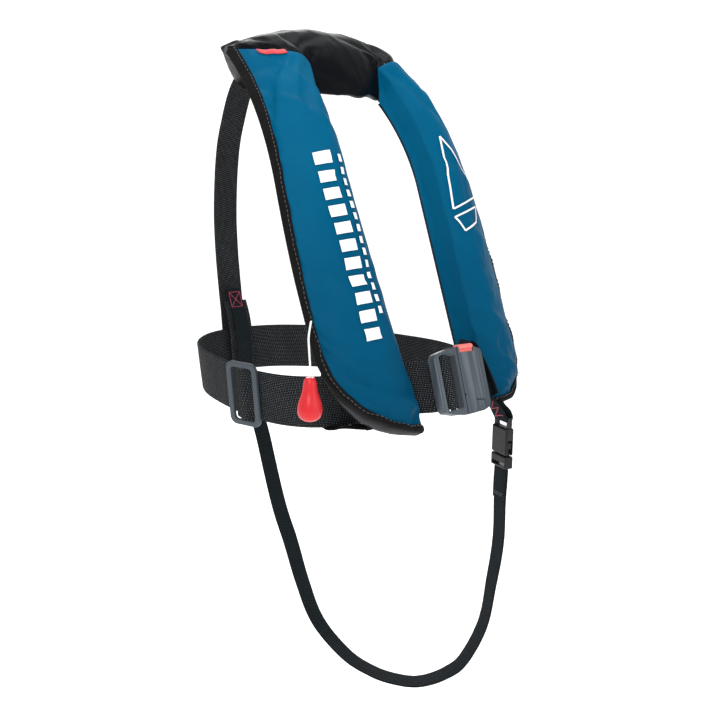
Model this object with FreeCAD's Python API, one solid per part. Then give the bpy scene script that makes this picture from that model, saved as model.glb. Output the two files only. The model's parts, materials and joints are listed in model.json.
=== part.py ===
"""Inflatable life jacket: bladder in a folded cover, waist belt, back strap and crotch loop.

Frame: origin at the centre of the waist belt ring at mid height of the webbing, +Z up,
the wearer faces -Y and the wearer's right side is -X. All sizes are in millimetres.
The left half (+X) is drawn and mirrored for the right half.
"""
import FreeCAD, Part
import math
import os

from FreeCAD import Vector

# Webbing
BELT_WIDTH = 50.0
BELT_THICK = 2.2
BELT_FLARE = 0.12
BELT_LOOP_X = 78.0
BELT_LOOP_WIDTH = 22.0
BACK_STRAP_WIDTH = 38.0
CROTCH_WIDTH = 20.0
CROTCH_THICK = 1.8

# Lobes: the body side runs straight up with a lean, then bends back over the shoulder
LEAN = math.radians(22.8)
PANEL_FRONT = 99.0
BEND_START = 217.0
SHOULDER_RADIUS = 275.0
LOBE_BOTTOM = -29.0
FLAP_TOP = 205.0
LOBE_TOP = 392.0
SEAM_GAP = 0.6
SHEET = 1.4
WALL_HEIGHT = 27.0
CROWN_HEIGHT = 36.5
BINDING_WIDTH = 7.0
BINDING_THICK = 3.0
BINDING_GAP = 0.8

# Yoke behind the neck
NECK_FRONT = (21.0, 284.0)
RIDGE_Y = 85.0
RIDGE_Z = 348.0
YOKE_HALF_WIDTH = 107.0
YOKE_REAR_Y = 172.0
YOKE_REAR_Z = 317.0
NECK_BLADDER_INSET = 4.6

# Main buckle
BUCKLE_CENTRE = Vector(2, -140, 25)
BUCKLE_YAW = -6.3
BUCKLE_LEAN = -19.0
BUCKLE_FACE_RADIUS = 100.0
BUCKLE_DEPTH = 13.0
BUCKLE_MALE_END = 31.0
BUCKLE_FEMALE_END = 28.0
BUCKLE_SEAM = -5.0
BUCKLE_MID_HALF = 32.0
BUCKLE_END_HALF = 27.5

# Slider
SLIDER_CENTRE = Vector(-130.5, 27, 0)
SLIDER_TURN = -78.0
SLIDER_LEAN = 7.0
SLIDER_HEIGHT = 64.0
SLIDER_LENGTH = 38.0
SLIDER_THICK = 4.0

# Inflator
CYLINDER_RADIUS = 13.0
CYLINDER_LENGTH = 100.0
CORD_RADIUS = 1.3
TOGGLE_TOP = Vector(-142.8, -87, 38)
TOGGLE_LENGTH = 39.0
TOGGLE_RADIUS = 11.0

# Crotch tab and clip
TAB_BASE = Vector(38.0, -108, 49)
TAB_LEAN = 0.54
TAB_FOLD_RADIUS = 3.7
TAB_OUTWARD = Vector(0.97, -0.25, 0)
TAB_ACROSS = Vector(-0.25, -0.97, 0)
TAB_ROOM = 5.0
CLIP_TOP = Vector(46.4, -148.5, -25)
CLIP_TURN = 74.0
CLIP_WIDTH = 25.0
CLIP_THICK = 9.0

X_AXIS = Vector(1, 0, 0)
Y_AXIS = Vector(0, 1, 0)
Z_AXIS = Vector(0, 0, 1)
ORIGIN = Vector(0, 0, 0)


# ---------------------------------------------------------------- helpers

def save(name, shape):
    """Write one sub-part, after checking that every solid in it is closed."""
    solids = shape.Solids
    bad = [s for s in solids if not s.isClosed() or s.Volume <= 0]
    if not solids or bad:
        print("PROBLEM", name, len(solids), "solids,", len(bad), "bad")
    if not shape.isValid():
        print("INVALID", name)
    shape.exportStep("parts/%s.step" % name)


def mirrored(shape):
    """The same shape on the other side of the wearer's centre plane."""
    return shape.mirror(ORIGIN, X_AXIS)


def curve(points):
    """Smooth curve through the points."""
    spline = Part.BSplineCurve()
    spline.interpolate(points)
    return spline.toShape()


def polygon_prism(points, direction):
    """Solid from a closed outline pushed along a direction."""
    outline = Part.makePolygon(list(points) + [points[0]])
    return Part.Face(outline).extrude(direction)


def ribbon(points, widths, width, thick, folded=False):
    """Webbing through the points, with its width along the given directions.

    A folded strip is made of short flat facets, so that it can turn tightly.
    """
    count = len(points)
    corners = [[], [], [], []]
    for i, point in enumerate(points):
        before = points[i] - points[max(i - 1, 0)]
        after = points[min(i + 1, count - 1)] - points[i]
        tangent = before + after
        if folded and 0 < i < count - 1:
            tangent = before.normalize() + after.normalize()
        tangent = tangent.normalize()
        across = widths[i] if isinstance(widths, list) else widths
        across = (across - tangent * across.dot(tangent)).normalize() * (width / 2)
        face = tangent.cross(across).normalize() * (thick / 2)
        signs = ((1, 1), (1, -1), (-1, -1), (-1, 1))
        for store, (a, b) in zip(corners, signs):
            store.append(point + across * a + face * b)
    if folded:
        wires = [Part.makePolygon(list(loop) + [loop[0]]) for loop in zip(*corners)]
        return Part.makeLoft(wires, True, True)
    edges = [curve(line) for line in corners]
    faces = [Part.makeRuledSurface(edges[k], edges[(k + 1) % 4]) for k in range(4)]
    for end in (0, -1):
        loop = [line[end] for line in corners]
        faces.append(Part.Face(Part.makePolygon(loop + [loop[0]])))
    pieces = []
    for face in faces:
        pieces.extend(face.Faces)
    shell = Part.makeShell(pieces)
    shell.sewShape()
    solid = Part.makeSolid(shell)
    if solid.Volume < 0:
        solid.reverse()
    return solid


def helix_spring(centre, radius, wire, height, turns):
    """Compression spring standing on its centre point."""
    path = Part.makeHelix(height / turns, height, radius)
    ring = Part.Wire([Part.makeCircle(wire / 2, Vector(radius, 0, 0), Y_AXIS)])
    spring = Part.Wire(path.Edges).makePipeShell([ring], True, True)
    spring.translate(centre)
    return spring


def block(x0, x1, y0, y1, z0, z1):
    """Plain box from its limits."""
    return Part.makeBox(x1 - x0, y1 - y0, z1 - z0, Vector(x0, y0, z0))


def largest(shape):
    """The biggest solid of a cut shape, without its cut-off slivers."""
    return max(shape.Solids, key=lambda solid: solid.Volume)


def softened(shape, radius, chooser):
    """Round the chosen edges, and leave the shape alone if that can't be done."""
    edges = [e for e in shape.Edges if chooser(e)]
    try:
        rounded = shape.makeFillet(radius, edges)
    except Exception:
        return shape
    return rounded if rounded.isValid() and rounded.Volume > 0 else shape


# ---------------------------------------------------------------- lobe frame

def path_at(s):
    """Place and lean of the body side of a lobe, s along it from belt height."""
    if s <= BEND_START:
        return -PANEL_FRONT + s * math.sin(LEAN), s * math.cos(LEAN), LEAN
    lean = LEAN + (s - BEND_START) / SHOULDER_RADIUS
    y = -PANEL_FRONT + BEND_START * math.sin(LEAN)
    y += SHOULDER_RADIUS * (math.cos(LEAN) - math.cos(lean))
    z = BEND_START * math.cos(LEAN)
    z += SHOULDER_RADIUS * (math.sin(lean) - math.sin(LEAN))
    return y, z, lean


def lobe_point(x, n, s):
    """Point at width x and height n above the body side."""
    y, z, lean = path_at(s)
    return Vector(x, y - n * math.cos(lean), z + n * math.sin(lean))


def lobe_normal(s):
    """Direction away from the body."""
    lean = path_at(s)[2]
    return Vector(0, -math.cos(lean), math.sin(lean))


def lobe_along(s):
    """Direction along the lobe, upwards."""
    lean = path_at(s)[2]
    return Vector(0, math.sin(lean), math.cos(lean))


def inner_edge(s):
    """Half of the neck gap: it widens upwards and closes again at the neck."""
    if s <= BEND_START:
        return 50.0 + 10.0 * s / BEND_START
    return 60.0 - 9.0 * ((s - BEND_START) / 100.0) ** 2 * 0.8


def outer_edge(s):
    """Half of the whole width: straight low down, drawn in towards the shoulder."""
    if s <= 120.0:
        return 133.0
    return 133.0 - 25.0 * ((s - 120.0) / 261.0) ** 1.6


FLAP_STATIONS = [LOBE_BOTTOM - 3.0, 60.0, 120.0, 165.0, FLAP_TOP]
UPPER_STATIONS = [FLAP_TOP + SEAM_GAP, 235.0, 265.0, 295.0, 325.0, 358.0, LOBE_TOP]


def lofted(profile, stations):
    """Solid through one profile at each station: straight sides low down, smooth in the bend."""
    low = [profile(s) for s in stations if s <= FLAP_TOP]
    high = [profile(s) for s in stations if s >= FLAP_TOP]
    parts = []
    if len(low) > 1:
        parts.append(Part.makeLoft(low, True, True))
    if len(high) > 1:
        parts.append(Part.makeLoft(high, True, False))
    return parts[0] if len(parts) == 1 else parts[0].fuse(parts[1])


def crown(fraction):
    """Height of the padded front over the width: steep at the neck side, thin outside."""
    if fraction < 0.32:
        rise = math.sin(fraction / 0.32 * math.pi / 2)
        return WALL_HEIGHT + (CROWN_HEIGHT - WALL_HEIGHT) * rise
    fall = (fraction - 0.32) / 0.68
    return 4.0 + (CROWN_HEIGHT - 4.0) * math.cos(fall * math.pi / 2) ** 0.8


def front_profile(s):
    """Thin curved front sheet from the neck-side corner to the outer edge."""
    x0 = inner_edge(s)
    x1 = outer_edge(s)
    fractions = (0.0, 0.12, 0.3, 0.5, 0.7, 0.86, 0.96, 1.0)
    outer = [lobe_point(x0 + (x1 - x0) * f, crown(f), s) for f in fractions]
    inner = [lobe_point(x0 + (x1 - x0) * f, crown(f) - SHEET, s) for f in fractions]
    edges = [curve(outer), Part.makeLine(outer[-1], inner[-1])]
    edges += [curve(inner), Part.makeLine(inner[0], outer[0])]
    return Part.Wire(Part.__sortEdges__(edges))


def box_profile(s, x0, x1, n0, n1):
    """Rectangle across the lobe."""
    corners = [lobe_point(x0, n0, s), lobe_point(x1, n0, s)]
    corners += [lobe_point(x1, n1, s), lobe_point(x0, n1, s)]
    return Part.makePolygon(corners + [corners[0]])


def pad_profile(s, margin):
    """Filled section of the folded bladder under the front sheet."""
    x0 = inner_edge(s) + margin
    x1 = outer_edge(s) - margin
    corners = [(x0, 2.6), (x0, WALL_HEIGHT - 4.0)]
    corners += [(x0 + 0.3 * (x1 - x0), CROWN_HEIGHT - 5.0)]
    corners += [(x0 + 0.62 * (x1 - x0), 22.0), (x1 - 9.0, 4.6), (x1 - 9.0, 2.6)]
    points = [lobe_point(x, n, s) for x, n in corners]
    return Part.makePolygon(points + [points[0]])


def bottom_outline(inset):
    """Rounded lower end of a lobe as width and distance along it."""
    points = [(49.0, -28.5), (67.0, -25.0), (85.0, -18.0), (103.0, -6.0)]
    points += [(118.0, 12.0), (128.0, 32.0), (133.0, 54.0)]
    return [(x - inset * 0.6, s + inset) for x, s in points]


def bottom_trim(inset):
    """Tool that keeps only what lies above the rounded lower end."""
    line = [lobe_point(x, -60.0, s) for x, s in bottom_outline(inset)]
    spline = curve(line)
    corners = [(160.0, 54.0 + inset), (160.0, 600.0), (20.0, 600.0), (20.0, -28.5 + inset)]
    base = lobe_point(0, -60.0, 0)
    along = lobe_along(0)
    rest = [base + X_AXIS * x + along * s for x, s in corners]
    chain = [line[-1]] + rest + [line[0]]
    edges = [spline]
    for a, b in zip(chain[:-1], chain[1:]):
        edges.append(Part.makeLine(a, b))
    face = Part.Face(Part.Wire(Part.__sortEdges__(edges)))
    return face.extrude(lobe_normal(0) * 150.0)


def seam_plane(shift):
    """Big block behind the slanted seam between the left cover and the yoke."""
    on_wall = Vector(51, 28, 280)
    on_ridge = Vector(48, 31, 315)
    at_edge = Vector(107, 88, 324)
    normal = (on_ridge - on_wall).cross(at_edge - on_wall).normalize()
    if normal.y < 0:
        normal = normal * -1
    block = Part.makePlane(900, 900, ORIGIN, normal)
    block.translate(on_wall - block.CenterOfMass + normal * shift)
    return block.extrude(normal * 600)


def binding(stations_s, along_bottom):
    """Edge tape standing on the outer edge, thin side outwards."""
    points = []
    normals = []
    middle = BINDING_WIDTH / 2 - 1.0
    offset = BINDING_THICK / 2 + BINDING_GAP
    if along_bottom:
        outline = bottom_outline(0.0)
        for i, (x, s) in enumerate(outline[:-1]):
            x2, s2 = outline[i + 1]
            length = math.hypot(x2 - x, s2 - s)
            out_x = (s2 - s) / length * offset
            out_s = -(x2 - x) / length * offset
            points.append(lobe_point(x + out_x, middle, s + out_s))
            normals.append(lobe_normal(s))
    for s in stations_s:
        points.append(lobe_point(outer_edge(s) + offset, middle, s))
        normals.append(lobe_normal(s))
    return ribbon(points, normals, BINDING_WIDTH, BINDING_THICK)


# ---------------------------------------------------------------- covers

def make_covers():
    """Both lobes: back panel, neck-side wall, opening flap, fixed upper cover, tapes."""
    lower = bottom_trim(0.0)
    behind_seam = seam_plane(-SEAM_GAP)
    cord_notch = lobe_block(126.0, 142.0, -3.0, 12.0, 79.0, 92.0)

    back = lofted(lambda s: box_profile(s, inner_edge(s), outer_edge(s), 0.0, SHEET),
                  [LOBE_BOTTOM - 3.0, 120.0, FLAP_TOP, 235.0, 265.0, 295.0, 325.0, 358.0, LOBE_TOP])
    back = back.common(lower).cut(behind_seam)

    wall = lofted(lambda s: box_profile(s, inner_edge(s), inner_edge(s) + SHEET,
                                        SHEET + 0.3, WALL_HEIGHT - 1.8),
                  [LOBE_BOTTOM - 3.0, 120.0, FLAP_TOP, 235.0, 265.0, 295.0, 325.0, 350.0])
    wall = wall.common(lower).cut(behind_seam)

    flap = lofted(front_profile, FLAP_STATIONS).common(lower)
    upper = lofted(front_profile, UPPER_STATIONS).cut(behind_seam)
    flap_tape = binding([70.0, 120.0, 165.0, FLAP_TOP - 0.6], True)
    upper_tape = binding([FLAP_TOP + 0.6, 235.0, 265.0, 295.0, 325.0, 345.0, 366.0], False)
    upper_tape = upper_tape.cut(behind_seam)

    loop_tape = lofted(lambda s: box_profile(s, outer_edge(s) - 7.0, outer_edge(s) - 1.0,
                                             SHEET + 0.2, SHEET + 0.9), [62.0, 120.0, 170.0, FLAP_TOP])
    for side, turn in (("left", lambda shape: shape), ("right", mirrored)):
        notch = cord_notch if side == "right" else None
        pieces = {"back_panel": back, "cover_wall": wall, "cover_flap": flap,
                  "upper_cover": upper, "flap_binding": flap_tape,
                  "upper_binding": upper_tape, "closure_tape": loop_tape}
        for name, shape in pieces.items():
            if notch and name in ("cover_flap", "flap_binding"):
                shape = shape.cut(notch)
            save("%s_%s" % (side, name), turn(shape))


def yoke_section(x, inset):
    """Section of the neck yoke: quarter round up from the neck, long slope to the back."""
    share = abs(x) / YOKE_HALF_WIDTH
    ridge = RIDGE_Z - 24.0 * share ** 1.6 - inset
    thick = 33.0 * (1.0 - share ** 2) + 5.0 - 2 * inset
    rear_y = YOKE_REAR_Y - 84.0 * share ** 1.1 - inset * 6
    rear_z = YOKE_REAR_Z + 2.0 * share ** 2
    front_y = NECK_FRONT[0] + inset
    front_z = NECK_FRONT[1] + inset * 1.5
    top = []
    for k in range(5):
        angle = k / 4 * math.pi / 2
        top.append(Vector(x, RIDGE_Y - (RIDGE_Y - front_y) * math.cos(angle),
                          front_z + (ridge - front_z) * math.sin(angle)))
    for k in (0.35, 0.7, 1.0):
        drop = (1 - math.cos(k * math.pi * 0.75)) / (1 - math.cos(math.pi * 0.75))
        top.append(Vector(x, RIDGE_Y + (rear_y - RIDGE_Y) * k, ridge + (rear_z - ridge) * drop))
    under = [Vector(x, rear_y, rear_z - 3.0)]
    under.append(Vector(x, RIDGE_Y + (rear_y - RIDGE_Y) * 0.5, (ridge - thick + rear_z) / 2))
    under.append(Vector(x, RIDGE_Y, ridge - thick))
    under.append(Vector(x, (RIDGE_Y + front_y) / 2, (ridge - thick + front_z) / 2 + 1.0))
    under.append(Vector(x, front_y, front_z))
    edges = [curve(top), Part.makeLine(top[-1], under[0]), curve(under)]
    return Part.Wire(Part.__sortEdges__(edges))


def make_yoke():
    """Black neck yoke cover with its folded bladder and lining panel inside."""
    widths = (-107, -90, -70, -45, -20, 0, 20, 45, 70, 90, 107)
    left_seam = seam_plane(SEAM_GAP)
    right_seam = mirrored(left_seam)
    outer = Part.makeLoft([yoke_section(x, 0.0) for x in widths], True, False)
    outer = outer.common(left_seam).common(right_seam)
    inside = (-80, -55, -28, 0, 28, 55, 80)
    inner = Part.makeLoft([yoke_section(x, 2.0) for x in inside], True, False)
    cover = outer.cut(inner)
    save("neck_yoke_cover", cover)
    inside = (-74, -50, -25, 0, 25, 50, 74)
    core = Part.makeLoft([yoke_section(x, NECK_BLADDER_INSET) for x in inside], True, False)
    return largest(core.cut(cover))


def make_bladder(yoke_inner):
    """Folded U-shaped bladder: two arms and the part behind the neck."""
    lower = bottom_trim(10.0)
    stations = [LOBE_BOTTOM, 60.0, 120.0, 165.0, FLAP_TOP, 235.0, 265.0, 295.0, 325.0]
    left = lofted(lambda s: pad_profile(s, 4.0), stations)
    left = left.common(lower).cut(seam_plane(-2.0))
    right = mirrored(left)
    right = right.cut(mirrored(bay(inner_edge(0) + 9.0, 45.0, 6.0, 205.0)))
    left = left.cut(bay(inner_edge(0) + 30.0, 34.0, 30.0, 190.0))
    save("bladder_left_arm", left)
    save("bladder_right_arm", right)
    neck = yoke_inner.common(seam_plane(3.0)).common(mirrored(seam_plane(3.0)))
    save("bladder_neck", largest(neck))


def bay(x0, width, s0, s1):
    """Block of room above the folded bladder, for the parts that lie on it."""
    bottom = 6.4
    corners = [lobe_point(x0, bottom, s0), lobe_point(x0 + width + 26.0, bottom, s0)]
    corners += [lobe_point(x0 + width + 26.0, 60.0, s0), lobe_point(x0, 60.0, s0)]
    return polygon_prism(corners, lobe_along(s0) * (s1 - s0))


# ---------------------------------------------------------------- webbing

def belt_places():
    """Middle of the webbing from the left buckle end round the back to the right one."""
    side = [(43.4, -100.5, 20), (45, -92, 16), (57, -71, 8), (78, -54, 2), (99, -41, 0), (116, -18, 0),
            (123, 14, 0), (121, 50, 0), (110, 110, 0), (96, 149, 0), (75, 181, 0), (42, 207, 0)]
    left = [Vector(*p) for p in side]
    right = [Vector(-p.x, p.y, p.z) for p in reversed(left)]
    return left + [Vector(0, 217, 0)] + right


def belt_width_directions(points):
    """Width direction of the belt: upright at the front, opening slightly upwards at the back."""
    directions = []
    for p in points:
        outward = Vector(p.x, p.y - 60, 0).normalize()
        share = max(0.0, min(1.0, (p.y + 70) / 60.0))
        directions.append(Z_AXIS + outward * BELT_FLARE * share)
    return directions


def make_webbing():
    """Waist belt, its loops on the back panels, back strap and the sewn tacks."""
    points = belt_places()
    belt = ribbon(points, belt_width_directions(points), BELT_WIDTH, BELT_THICK)
    save("waist_belt", belt)

    loops = []
    yz = [(-84.6, 31), (-102.6, -12), (-99.5, -17), (-70, -28), (-44, -28), (-38, -20), (-38, 22),
          (-44, 30), (-70, 33), (-80.5, 34)]
    for x in (BELT_LOOP_X, -BELT_LOOP_X):
        line = [Vector(x, y, z) for y, z in yz]
        loops.append(ribbon(line, X_AXIS, BELT_LOOP_WIDTH, 1.6, True))
    save("belt_loops", Part.makeCompound(loops))

    yz = [(176, 326), (190, 319), (203, 307), (214, 291), (224, 268), (234, 238), (240, 197), (242, 155),
          (239, 112), (234, 72), (229, 42), (225, 10), (222, -15)]
    yz += turn_points(215.3, -33, 6.2, 12, -192, 6)
    yz += [(208.5, -14), (211, 12), (216.5, 38), (225, 56)]
    line = [Vector(0, y, z) for y, z in yz]
    save("back_strap", ribbon(line, X_AXIS, BACK_STRAP_WIDTH, BELT_THICK, True))

    yz = [(225.5, 66), (220, 52), (211.5, 32), (206.8, 8), (205, -14), (203, -34)]
    line = [Vector(0, y, z) for y, z in yz]
    save("crotch_strap_anchor", ribbon(line, X_AXIS, CROTCH_WIDTH, CROTCH_THICK))
    tacks = []
    for y, z in ((223.0, 62.0), (218.2, 50.5)):
        tack = Part.makeBox(18, 0.8, 2.2, Vector(-9, y - 0.4, z - 1.1))
        tack.rotate(Vector(0, y, z), X_AXIS, -25)
        tack.translate(Vector(0, -0.9, 0.6))
        tacks.append(tack)
    save("back_strap_tacks", Part.makeCompound(tacks))


def turn_points(y, z, radius, start, sweep, count):
    """Points on an arc, for a place where webbing folds round something."""
    points = []
    for k in range(count + 1):
        angle = math.radians(start + sweep * k / count)
        points.append((y + radius * math.cos(angle), z + radius * math.sin(angle)))
    return points


def make_crotch_loop():
    """Long strap from the back of the belt under the body to the clip at the front."""
    places = [(0, 200, -38), (0, 188, -62), (0, 171, -92), (0, 141, -167), (0, 118, -208),
              (0, 96, -250), (1, 68, -288), (5, 25, -314), (10, -13, -321), (15, -49, -317),
              (21, -75, -309), (29, -100, -293), (36, -118, -273), (42, -136, -230),
              (45, -143, -182), (46, -148, -140), (46.4, -148.5, -100), (46.4, -148.5, -71)]
    turns = [0, 0, 0, 0, 0, 5, 11, 19, 28, 38, 48, 55, 60, 64, 68, 71, 73, 74]
    line = [Vector(*p) for p in places]
    widths = []
    for degrees in turns:
        angle = math.radians(degrees)
        widths.append(Vector(math.cos(angle), math.sin(angle), 0))
    save("crotch_strap", ribbon(line, widths, CROTCH_WIDTH, CROTCH_THICK))


def tab_leg_point(out, z):
    """Point of the crotch tab beside its middle plane, at one height."""
    lean = (TAB_BASE.z - z) * TAB_LEAN
    return Vector(TAB_BASE.x, TAB_BASE.y - lean, z) + TAB_OUTWARD * out


def tab_room():
    """Room round the inner leg of the crotch tab, where it passes the end of the buckle."""
    line = [tab_leg_point(-TAB_FOLD_RADIUS, z) for z in (60, 40, 20, 0, -20)]
    return ribbon(line, TAB_ACROSS, CROTCH_WIDTH + 1.0, TAB_ROOM, True)


def make_crotch_tab():
    """Webbing tab round the belt beside the buckle, with its sewn tacks."""
    radius = TAB_FOLD_RADIUS
    loop = [(radius - 0.4, -8), (radius, 2), (radius, 24), (radius, 47)]
    loop += turn_points(0, 49, radius, 0, 180, 6)[1:]
    loop += [(-radius, 24), (-radius, 2), (-1.5, -6), (1.0, -10)]
    line = [tab_leg_point(out, z) for out, z in loop]
    save("crotch_tab", ribbon(line, TAB_ACROSS, CROTCH_WIDTH, CROTCH_THICK, True))
    tacks = []
    for z in (20.0, 6.0):
        tack = Part.makeBox(0.8, 13, 2.2, Vector(-0.4, -6.5, -1.1))
        tack.rotate(ORIGIN, Z_AXIS, -14.5)
        tack.translate(tab_leg_point(-radius - 1.8, z))
        tacks.append(tack)
    save("crotch_tab_tacks", Part.makeCompound(tacks))


# ---------------------------------------------------------------- main buckle

def place_buckle(shape):
    """From the buckle's own frame (x along the belt, y into the body, z up) to the jacket."""
    shape.rotate(ORIGIN, X_AXIS, BUCKLE_LEAN)
    shape.rotate(ORIGIN, Z_AXIS, BUCKLE_YAW)
    shape.translate(BUCKLE_CENTRE)
    return shape


def buckle_band(x0, x1, y0, y1):
    """Curved slab of the buckle between two widths and two depths below its face."""
    radius = BUCKLE_FACE_RADIUS
    outer = []
    inner = []
    for k in range(3):
        x = x0 + (x1 - x0) * k / 2
        base = radius - math.sqrt(radius ** 2 - x ** 2)
        outer.append(Vector(x, base + y0, -40))
        inner.append(Vector(x, base + y1, -40))
    inner.reverse()
    edges = [Part.Arc(*outer).toShape(), Part.makeLine(outer[2], inner[0])]
    edges += [Part.Arc(*inner).toShape(), Part.makeLine(inner[2], outer[0])]
    return Part.Face(Part.Wire(edges)).extrude(Z_AXIS * 80)


def buckle_outline(end):
    """Front view of one half: tall at the seam, lower and rounded at the belt end."""
    start = -math.copysign(BUCKLE_FEMALE_END * 0.3, end)
    outline = [(start, -BUCKLE_MID_HALF), (end * 0.55, -BUCKLE_MID_HALF + 1.5),
               (end * 0.9, -BUCKLE_END_HALF), (end, -BUCKLE_END_HALF + 5),
               (end, BUCKLE_END_HALF - 5), (end * 0.9, BUCKLE_END_HALF),
               (end * 0.55, BUCKLE_MID_HALF - 1.5), (start, BUCKLE_MID_HALF)]
    return polygon_prism([Vector(x, -5, z) for x, z in outline], Y_AXIS * 40)


def make_buckle():
    """Male frame with its prongs, female shells, press button with latch and springs."""
    gap = 0.3
    male = buckle_band(-BUCKLE_MALE_END, BUCKLE_SEAM - gap, 0, BUCKLE_DEPTH - 3)
    male = male.common(buckle_outline(-BUCKLE_MALE_END))
    male = softened(male, 1.6, lambda e: e.Length > 20)
    slot = block(-26, -9, -5, 30, -26, 26)
    slot = softened(slot, 3.0, lambda e: abs(e.tangentAt(e.FirstParameter).y) > 0.9)
    male = male.cut(slot)
    bar = block(-20, -15, 4.0, 8.5, -27, 27)
    bar = softened(bar, 1.5, lambda e: e.Length > 20)
    male = male.fuse(bar)
    for z in (-12, 12):
        prong = block(BUCKLE_SEAM - 2, 11, 3.6, 7.0, z - 5.5, z + 5.5)
        notch = block(5.5, 8.5, 3.0, 4.4, z - 6.0, z + 6.0)
        male = male.fuse(prong.cut(notch))
    save("buckle_male_frame", place_buckle(male.removeSplitter()))

    wrap = [(-17.5, 1.0), (-21.6, 2.6), (-22.3, 6.0), (-20.4, 9.4), (-17.5, 10.2), (-14.4, 9.4),
            (-12.6, 6.0), (-13.4, 2.6), (-16.6, 0.6)]
    points = [Vector(x, y + 1.8, 0) for x, y in wrap]
    fold = ribbon(points, Z_AXIS, BELT_WIDTH - 0.5, 1.2)
    save("buckle_male_webbing", place_buckle(fold))

    female = buckle_band(BUCKLE_SEAM + gap, BUCKLE_FEMALE_END, 0, BUCKLE_DEPTH)
    female = female.common(buckle_outline(BUCKLE_FEMALE_END))
    female = softened(female, 1.4, lambda e: e.Length > 20)
    groove = Part.makeTorus(28, 1.0, Vector(14, 1.2, 8), Y_AXIS)
    groove = groove.common(block(-20, 60, -5, 4.5, -40, -12))
    cavity = block(BUCKLE_SEAM, 13.0, 2.0, 9.0, -19.5, 19.5)
    pocket = block(-3.0, 15.5, 1.6, 9.4, 17.0, 45)
    trim = block(-3.0, 15.5, -3, 9.4, 26.0, 45)
    rear_slot = block(20.4, 24.4, 7.5, 30, -26, 26)
    female = female.cut(groove).cut(cavity).cut(pocket).cut(trim).cut(rear_slot)
    split = buckle_band(-20, 45, 6.5, 6.7)
    front_half = buckle_band(-20, 45, -6, 6.5)
    tab = tab_room()
    front = largest(place_buckle(female.common(front_half)).cut(tab))
    rear = largest(place_buckle(female.cut(front_half).cut(split)).cut(tab))
    save("buckle_female_front", front)
    save("buckle_female_back", rear)

    button = block(-2.5, 15.0, 0.4, 9.0, 29.5, 33.5).fuse(block(-2.5, 15.0, 2.0, 9.0, 21.5, 30.0))
    button = button.removeSplitter()
    button = softened(button, 2.0, lambda e: abs(e.tangentAt(e.FirstParameter).z) < 0.2 and
                      e.CenterOfMass.z > 30)
    latch = block(6.0, 8.0, 2.4, 3.3, 14.5, 22)
    save("buckle_release_button", place_buckle(button.fuse(latch).removeSplitter()))
    springs = [helix_spring(Vector(x, 5.5, 18.0), 1.9, 0.6, 3.1, 3) for x in (1.0, 11.5)]
    save("button_springs", place_buckle(Part.makeCompound(springs)))

    hook = [(21.0, 19.6), (24.5, 20.0), (28.0, 21.0), (32.0, 23.0)]
    points = [Vector(x, y, 0) for x, y in hook]
    webbing = place_buckle(ribbon(points, Z_AXIS, 48.0, 1.6))
    save("buckle_female_webbing", largest(webbing.cut(tab)))


# ---------------------------------------------------------------- slider

def place_slider(shape):
    """From the slider's own frame (x along the belt, y outwards, z up) to the jacket."""
    shape.rotate(ORIGIN, X_AXIS, -SLIDER_LEAN)
    shape.rotate(ORIGIN, Z_AXIS, 90.0 + (SLIDER_TURN + 90.0))
    shape.translate(SLIDER_CENTRE)
    return shape


def make_slider():
    """Three-bar slider with the webbing fold over its middle bar."""
    half_x = SLIDER_LENGTH / 2
    half_z = SLIDER_HEIGHT / 2
    plate = block(-half_x, half_x, -SLIDER_THICK / 2, SLIDER_THICK / 2, -half_z, half_z)
    plate = softened(plate, 8.0, lambda e: abs(e.tangentAt(e.FirstParameter).y) > 0.9)
    window = block(-half_x + 6, half_x - 6, -5, 5, -half_z + 5.5, half_z - 5.5)
    window = softened(window, 3.0, lambda e: abs(e.tangentAt(e.FirstParameter).y) > 0.9)
    frame = softened(plate.cut(window), 1.2, lambda e: abs(e.CenterOfMass.y) > 1.5)
    bar = block(-2.5, 2.5, -1.6, 1.2, -half_z + 3, half_z - 3)
    save("belt_slider", place_slider(frame.fuse(bar).removeSplitter()))
    wrap = [(-10.5, -3.2), (-6.5, -1.5), (-3.6, 1.4), (0, 2.9), (3.6, 1.4), (6.5, -1.5), (10.5, -3.2)]
    points = [Vector(x, y, 0) for x, y in wrap]
    save("slider_webbing", place_slider(ribbon(points, Z_AXIS, BELT_WIDTH - 1.0, 1.6)))


# ---------------------------------------------------------------- inflator

def lobe_rod(x, n, s0, s1, radius):
    """Cylinder along the straight stretch of a lobe."""
    return Part.makeCylinder(radius, s1 - s0, lobe_point(x, n, s0), lobe_along(0))


def lobe_block(x0, x1, n0, n1, s0, s1):
    """Box in the directions of the straight stretch of a lobe."""
    corners = [lobe_point(x0, n0, s0), lobe_point(x1, n0, s0)]
    corners += [lobe_point(x1, n1, s0), lobe_point(x0, n1, s0)]
    return polygon_prism(corners, lobe_along(0) * (s1 - s0))


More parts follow.
